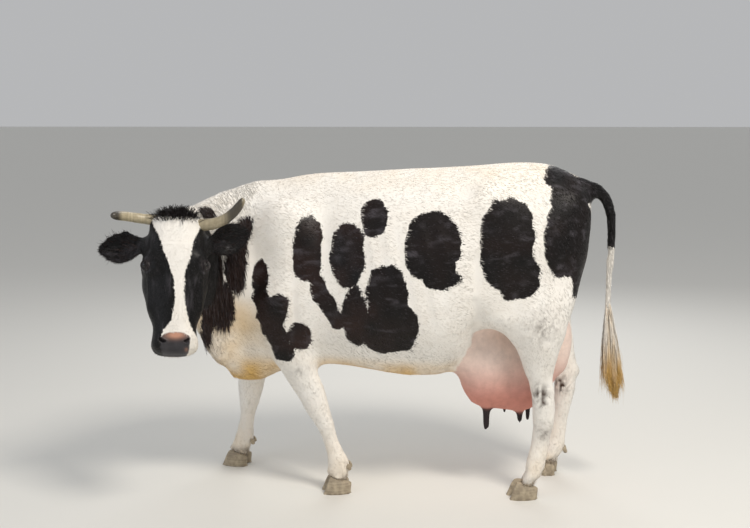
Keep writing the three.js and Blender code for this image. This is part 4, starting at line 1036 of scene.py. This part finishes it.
def coat_lie(spots, weights):
    """The direction that hair points, before it is laid along the surface."""
    names = {name: column[:, None] for name, column in by_name(weights).items()}
    x, z = spots[:, 0], spots[:, 2]
    side, at = in_head(spots).T[:2]
    trunk = np.column_stack([np.ones(len(x)), np.zeros(len(x)), -0.35 - 1.6 * rise(x, 0.60, 0.86)
                             - 0.5 * rise(-z, -0.95, -0.60) * rise(z, 0.55, 0.62)])
    neck = np.column_stack([0.30 + 0.5 * rise(x, -0.62, -0.45), np.zeros(len(x)), -np.ones(len(x))])
    leg = np.column_stack([0.25 + 0 * x, np.zeros(len(x)), -np.ones(len(x))])
    from_whorl = np.where(at < 118, -1.0, 1.0) * (0.25 + np.abs(at - 118) / 60).clip(0, 1)
    local = np.column_stack([side / 130, from_whorl, -0.10 - 0.3 * (np.abs(side) > 80)])
    face = local @ HEAD_TURN.T
    ear = np.column_stack([np.sign(side), 0.15 + 0 * side, -0.15 + 0 * side]) @ HEAD_TURN.T
    down = np.column_stack([0 * x + 0.03, 0 * x, -np.ones(len(x))])
    tail = np.where((z > 1.27)[:, None], np.array([1.0, 0, -0.6]), down)
    return (trunk * names["trunk"] + neck * names["neck"] + leg * names["leg"]
            + unit_rows(face) * names["head"] + ear * names["ear"] + tail * names["tail"]
            + trunk * names["udder"])


# %% One tuft shape, copied with numpy
TUFT_PATCH = 0.003       # each tuft's share of the OFBake map, across


def grow(name, roots, normal, lie, length, width, lift, values, sink=0.0012, uv=None, droop=0.0,
         steps=1, wave=0.0):
    """Builds one mesh of closed blades: a three-sided root, one or more bends and a tip."""
    total = len(roots)
    across = unit_rows(np.cross(normal, lie))
    phase, swing = rng.uniform(0, 6.28, total), rng.normal(size=total) * wave
    rings = []
    for step in range(steps + 1):
        t = step / (steps + 0.9)
        height = lift * math.sin(math.pi * min(t * 0.9 + 0.02, 1)) - (sink if step == 0 else 0)
        middle = roots + lie * (length * t)[:, None] + normal * np.broadcast_to(height, total)[:, None]
        middle = middle + np.array([0, 0, -1.0]) * (droop * length * t * t)[:, None]
        middle = middle + across * (swing * t * np.sin(5.5 * t + phase))[:, None]
        thick = width * (1 - 0.5 * t)
        rings.append(np.stack([middle + across * (thick / 2)[:, None], middle - across * (thick / 2)[:, None],
                               middle + normal * (thick * 0.15)[:, None]], axis=1))
    tip = roots + lie * length[:, None] + normal * np.broadcast_to(lift * 0.25, total)[:, None]
    tip = tip + np.array([0, 0, -1.0]) * (droop * length)[:, None]
    tip = tip + across * (swing * np.sin(5.5 + phase))[:, None]
    per = 3 * (steps + 1) + 1
    spots = np.concatenate([np.concatenate(rings, axis=1), tip[:, None]], axis=1).reshape(-1, 3)
    faces = [(0, 1, 2)]
    for step in range(steps):
        a = 3 * step
        for i, j in ((0, 2), (2, 1), (1, 0)):
            faces += [(a + i, a + j, a + 3 + j), (a + i, a + 3 + j, a + 3 + i)]
    a = 3 * steps
    faces += [(a, a + 2, per - 1), (a + 2, a + 1, per - 1), (a + 1, a, per - 1)]
    faces = np.array(faces, dtype=np.int32)
    every = (faces[None] + (np.arange(total, dtype=np.int32) * per)[:, None, None]).reshape(-1, 3)
    mesh = bpy.data.meshes.new(name)
    mesh.vertices.add(len(spots))
    mesh.vertices.foreach_set("co", spots.astype(np.float32).ravel())
    mesh.loops.add(every.size)
    mesh.loops.foreach_set("vertex_index", every.ravel())
    mesh.polygons.add(len(every))
    mesh.polygons.foreach_set("loop_start", np.arange(0, every.size, 3, dtype=np.int32))
    mesh.polygons.foreach_set("loop_total", np.full(len(every), 3, dtype=np.int32))
    mesh.polygons.foreach_set("use_smooth", np.ones(len(every), bool))
    mesh.update(calc_edges=True)
    patch = [[(k % 3) / 2, min(k // 3, steps) / (steps + 1)] for k in range(per - 1)] + [[0.5, 1.0]]
    tuft_uv = uv[:, None, :] * 0.996 + TUFT_PATCH * np.array(patch)[None]
    layer = mesh.uv_layers.new(name="OFBake")
    layer.data.foreach_set("uv", tuft_uv.reshape(-1, 2)[every.ravel()].astype(np.float32).ravel())
    give_values(mesh, {key: np.repeat(value, per) for key, value in values.items()})
    piece = bpy.data.objects.new(name, mesh)
    scene.collection.objects.link(piece)
    piece.data.materials.append(hair_coat)
    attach(piece, "root")
    print(f"{name}: {total} tufts, {len(every)} triangles")
    return piece


def scatter(count, density):
    """Random places on the skin, as many per area as density says: triangle and corner weights."""
    chance = tri_area * density[corner_points].mean(axis=1)
    picked = rng.choice(len(chance), size=count, p=chance / chance.sum())
    u, v = rng.random(count), rng.random(count)
    over = u + v > 1
    u[over], v[over] = 1 - u[over], 1 - v[over]
    return picked, np.column_stack([1 - u - v, u, v])


def at_roots(picked, weights, values):
    """A point value carried to the roots."""
    corners = values[corner_points[picked]]
    return np.einsum("ij,ij...->i...", weights, corners)


def cover(name, count, density, length_mm, width_mm, lift_mm, stray=0.09, steps=1):
    """Grows one region's tufts along the lie of the coat."""
    picked, weights = scatter(count, density)
    roots = at_roots(picked, weights, points)
    normal = unit_rows(at_roots(picked, weights, normals))
    root_share = at_roots(picked, weights, share)
    lie = coat_lie(roots, root_share)
    lie = lie + stray * np.linalg.norm(lie, axis=1)[:, None] * rng.normal(size=lie.shape)
    lie = unit_rows(lie - normal * np.sum(lie * normal, axis=1)[:, None])
    length = at_roots(picked, weights, length_mm) * MM * rng.uniform(0.7, 1.25, count)
    width = at_roots(picked, weights, width_mm) * MM * rng.uniform(0.7, 1.2, count)
    lift = at_roots(picked, weights, lift_mm) * MM * rng.uniform(0.5, 1.4, count)
    uv = np.einsum("ij,ijk->ik", weights, loop_uv[corner_loops[picked]])
    root_mark = at_roots(picked, weights, mark) + rng.normal(size=count) * 2.2
    values = {key: at_roots(picked, weights, tints[key]) for key in ("stain_and_shade", "brown_and_sheen", "dirt")}
    values["mark"] = np.where(root_mark > 0, 30.0, -30.0)
    # A random tone for each tuft, which also sets how much painted sheen a black tuft shows.
    values["tone_and_sheen"] = np.clip(rng.normal(0.5, 0.24, count), 0, 1)
    return grow(name, roots, normal, lie, length, width, lift, values, uv=uv, steps=steps)


# %% Short coat, region by region
bare = np.clip(1 - tints["udder"] - tints["nose"], 0, 1)
for centre in EYES.values():
    bare *= rise(gap_to(points, centre), 0.028, 0.036)
head = in_head(points)
fringe = rise(-points[:, 2], -0.60, -0.50) * (region["trunk"] + region["neck"])
length_mm = share @ np.array([18.0, 24, 9, 13, 13, 10, 20]) + 8 * fringe
width_mm = share @ np.array([2.2, 2.6, 1.5, 1.8, 1.9, 2.0, 2.4])
lift_mm = share @ np.array([0.5, 1.3, 0.5, 1.4, 0.5, 1.0, 1.4])
x = points[:, 0]
cuts = (("trunk", [-9, -0.35, -0.02, 0.31, 0.62, 9], 12600), ("neck", [-9, 9], 15000),
        ("leg", [-9, 0.2, 9], 9200), ("head", [-9, 9], 18000), ("ear", [-9, 9], 5200),
        ("tail", [-9, 9], 3200))
for name, limits, count in cuts:
    for number, (low, high) in enumerate(zip(limits[:-1], limits[1:])):
        density = region[name] * bare * (x >= low) * (x < high)
        cover(f"{name}_coat_{number}", count, density, length_mm, width_mm, lift_mm)

# %% [markdown]
# ### Long hair
# Long hair hangs in locks: a dark tuft on the poll between the horns, fringes on and inside the
# ears, lashes, dark hair down the neck, a fringe over the claws, and the golden switch at the end
# of the tail. These are the same closed blades with more bends.


# %% Locks
def locks(name, count, density, way, length, width, lift, steps, tint, black, droop=0.0, wave=0.0):
    """Grows free locks from chosen places; way and length are worked out from the roots."""
    picked, weights = scatter(count, density)
    roots = at_roots(picked, weights, points)
    normal = unit_rows(at_roots(picked, weights, normals))
    lie = unit_rows(way(roots, normal))
    uv = np.einsum("ij,ijk->ik", weights, loop_uv[corner_loops[picked]])
    values = {key: np.clip(tint.get(key, 0.0) * rng.uniform(0.6, 1.1, count), 0, 1)
              for key in ("stain_and_shade", "brown_and_sheen", "dirt")}
    values["mark"] = np.full(count, 30.0 if black else -30.0)
    # A random tone for each lock, which also sets how much painted sheen a black lock shows.
    values["tone_and_sheen"] = np.clip(rng.normal(0.5, 0.26, count), 0, 1)
    return grow(name, roots, normal, lie, length(roots) * MM,
                np.full(count, width * MM) * rng.uniform(0.6, 1.3, count),
                lift * MM * rng.uniform(0.2, 1.3, count), values, uv=uv, steps=steps, droop=droop,
                wave=wave * MM)


def poll_way(roots, normal):
    side = in_head(roots)[:, 0] / 110
    local = np.column_stack([side, np.full(len(roots), -0.35), np.full(len(roots), 0.75)])
    return (local + rng.normal(scale=0.34, size=local.shape)) @ HEAD_TURN.T


side, at, front = head.T
poll = np.exp(-(side / 58) ** 2 - ((at + 8) / 22) ** 2) * (front > -95) * (region["head"] > 0.5)
locks("poll_tuft", 900, poll, poll_way, lambda roots: rng.uniform(26, 52, len(roots)), 2.6, 5, 3,
      {"brown_and_sheen": 0.25}, True, droop=0.25)


def ear_way(roots, normal):
    side, at = in_head(roots).T[:2]
    local = np.column_stack([np.sign(side) * 0.7, (at - np.where(side > 0, 75, 112)) / 60, 0.25 + 0 * side])
    local += rng.normal(scale=0.3, size=local.shape)
    return local @ HEAD_TURN.T + 0.35 * normal


facing_front = normals @ head_way(0, 0, 1)
outer_ear = region["ear"] * (np.abs(side) > 150)
locks("ear_rim_fringe", 1100, outer_ear * (np.abs(facing_front) < 0.55), ear_way,
      lambda roots: rng.uniform(4, 12, len(roots)), 1.2, 1.2, 2, {"brown_and_sheen": 0.6}, True)
locks("ear_inner_hair", 420, outer_ear * (facing_front > 0.5), ear_way,
      lambda roots: rng.uniform(18, 34, len(roots)), 1.4, 3, 3, {"brown_and_sheen": 0.7}, True)


def switch_way(roots, normal):
    way = np.tile((0.10, 0, -1.0), (len(roots), 1))
    wisp = np.floor(np.arctan2(normal[:, 1], normal[:, 0]) * 2.2 + roots[:, 2] * 9).astype(int) % 14
    lean = np.random.default_rng(3).normal(scale=0.038, size=(14, 3))
    return way + 0.01 * normal + lean[wisp] + rng.normal(scale=0.012, size=way.shape)


def switch_length(roots):
    clump = np.clip(0.5 + 0.8 * lattice_noise(roots * (75, 75, 12), 41), 0, 1)
    end = 0.350 + 0.13 * clump + 0.05 * rng.random(len(roots)) + 0.10 * rng.random(len(roots)) ** 3
    return np.maximum(roots[:, 2] - end, 0.04) / MM


end_of_tail = region["tail"] * (0.12 * rise(-points[:, 2], -0.86, -0.76) + rise(-points[:, 2], -0.72, -0.56))
switch = locks("tail_switch_locks", 3400, end_of_tail, switch_way, switch_length, 2.6, 12, 6, {"stain_and_shade": 0.95},
               False, wave=11)
spots = points_of(switch.data)
gold = 0.12 + 0.95 * rise(-spots[:, 2], -0.72, -0.46) + 0.30 * lattice_noise(spots * (90, 90, 6), 42)
give_values(switch.data, {"stain_and_shade": np.clip(gold, 0, 1)})


# %% Eyelashes, a row on the upper lid
LASHES = 34
for name, centre in EYES.items():
    facing, along = EYE_FACING[name], EYE_ALONG[name]
    upper = np.cross(facing, along)
    upper *= np.sign(upper @ head_way(0, -0.5, 1))
    spread = np.linspace(-0.72, 0.66, LASHES) + rng.normal(scale=0.012, size=LASHES)
    high = 0.46 * (1 - 0.40 * (spread / 0.8) ** 2) * np.sqrt(np.clip(1 - (spread / 0.86) ** 2, 0, 1))
    unit = spread[:, None] * along + high[:, None] * upper
    unit += facing * np.sqrt(1 - np.sum(unit ** 2, axis=1))[:, None]
    way = unit_rows(0.75 * unit + 0.75 * upper + rng.normal(scale=0.08, size=unit.shape))
    values = {"stain_and_shade": 0, "brown_and_sheen": 0.3, "dirt": 0, "mark": 30, "tone_and_sheen": 0.3}
    grow(name + "_eyelashes", np.array(centre) + unit * 0.0236, unit, way, rng.uniform(0.011, 0.017, LASHES),
         np.full(LASHES, 0.0011), 0.001,
         {key: np.full(LASHES, float(value)) for key, value in values.items()},
         uv=np.full((LASHES, 2), 0.5), steps=2, droop=0.2)


def neck_way(roots, normal):
    way = np.tile((0.12, 0, -1.0), (len(roots), 1))
    way -= normal * np.sum(way * normal, axis=1)[:, None]
    return way + 0.10 * normal + rng.normal(scale=0.07, size=way.shape)


coronet = region["leg"] * rise(-points[:, 2], -0.085, -0.060) * (points[:, 2] > 0.047)


def coronet_way(roots, normal):
    way = np.tile((-0.15, 0, -1.0), (len(roots), 1))
    return way + 0.45 * normal + rng.normal(scale=0.10, size=way.shape)


locks("coronet_fringe", 1500, coronet, coronet_way, lambda roots: rng.uniform(10, 19, len(roots)),
      1.8, 1.5, 2, {"stain_and_shade": 0.5, "dirt": 0.5}, False)
mane = region["neck"] * rise(-points[:, 0], 0.50, 0.62) * (mark > 6)
locks("neck_locks", 2200, mane, neck_way, lambda roots: rng.uniform(34, 70, len(roots)), 2.6, 3, 3,
      {"brown_and_sheen": 0.9}, True)
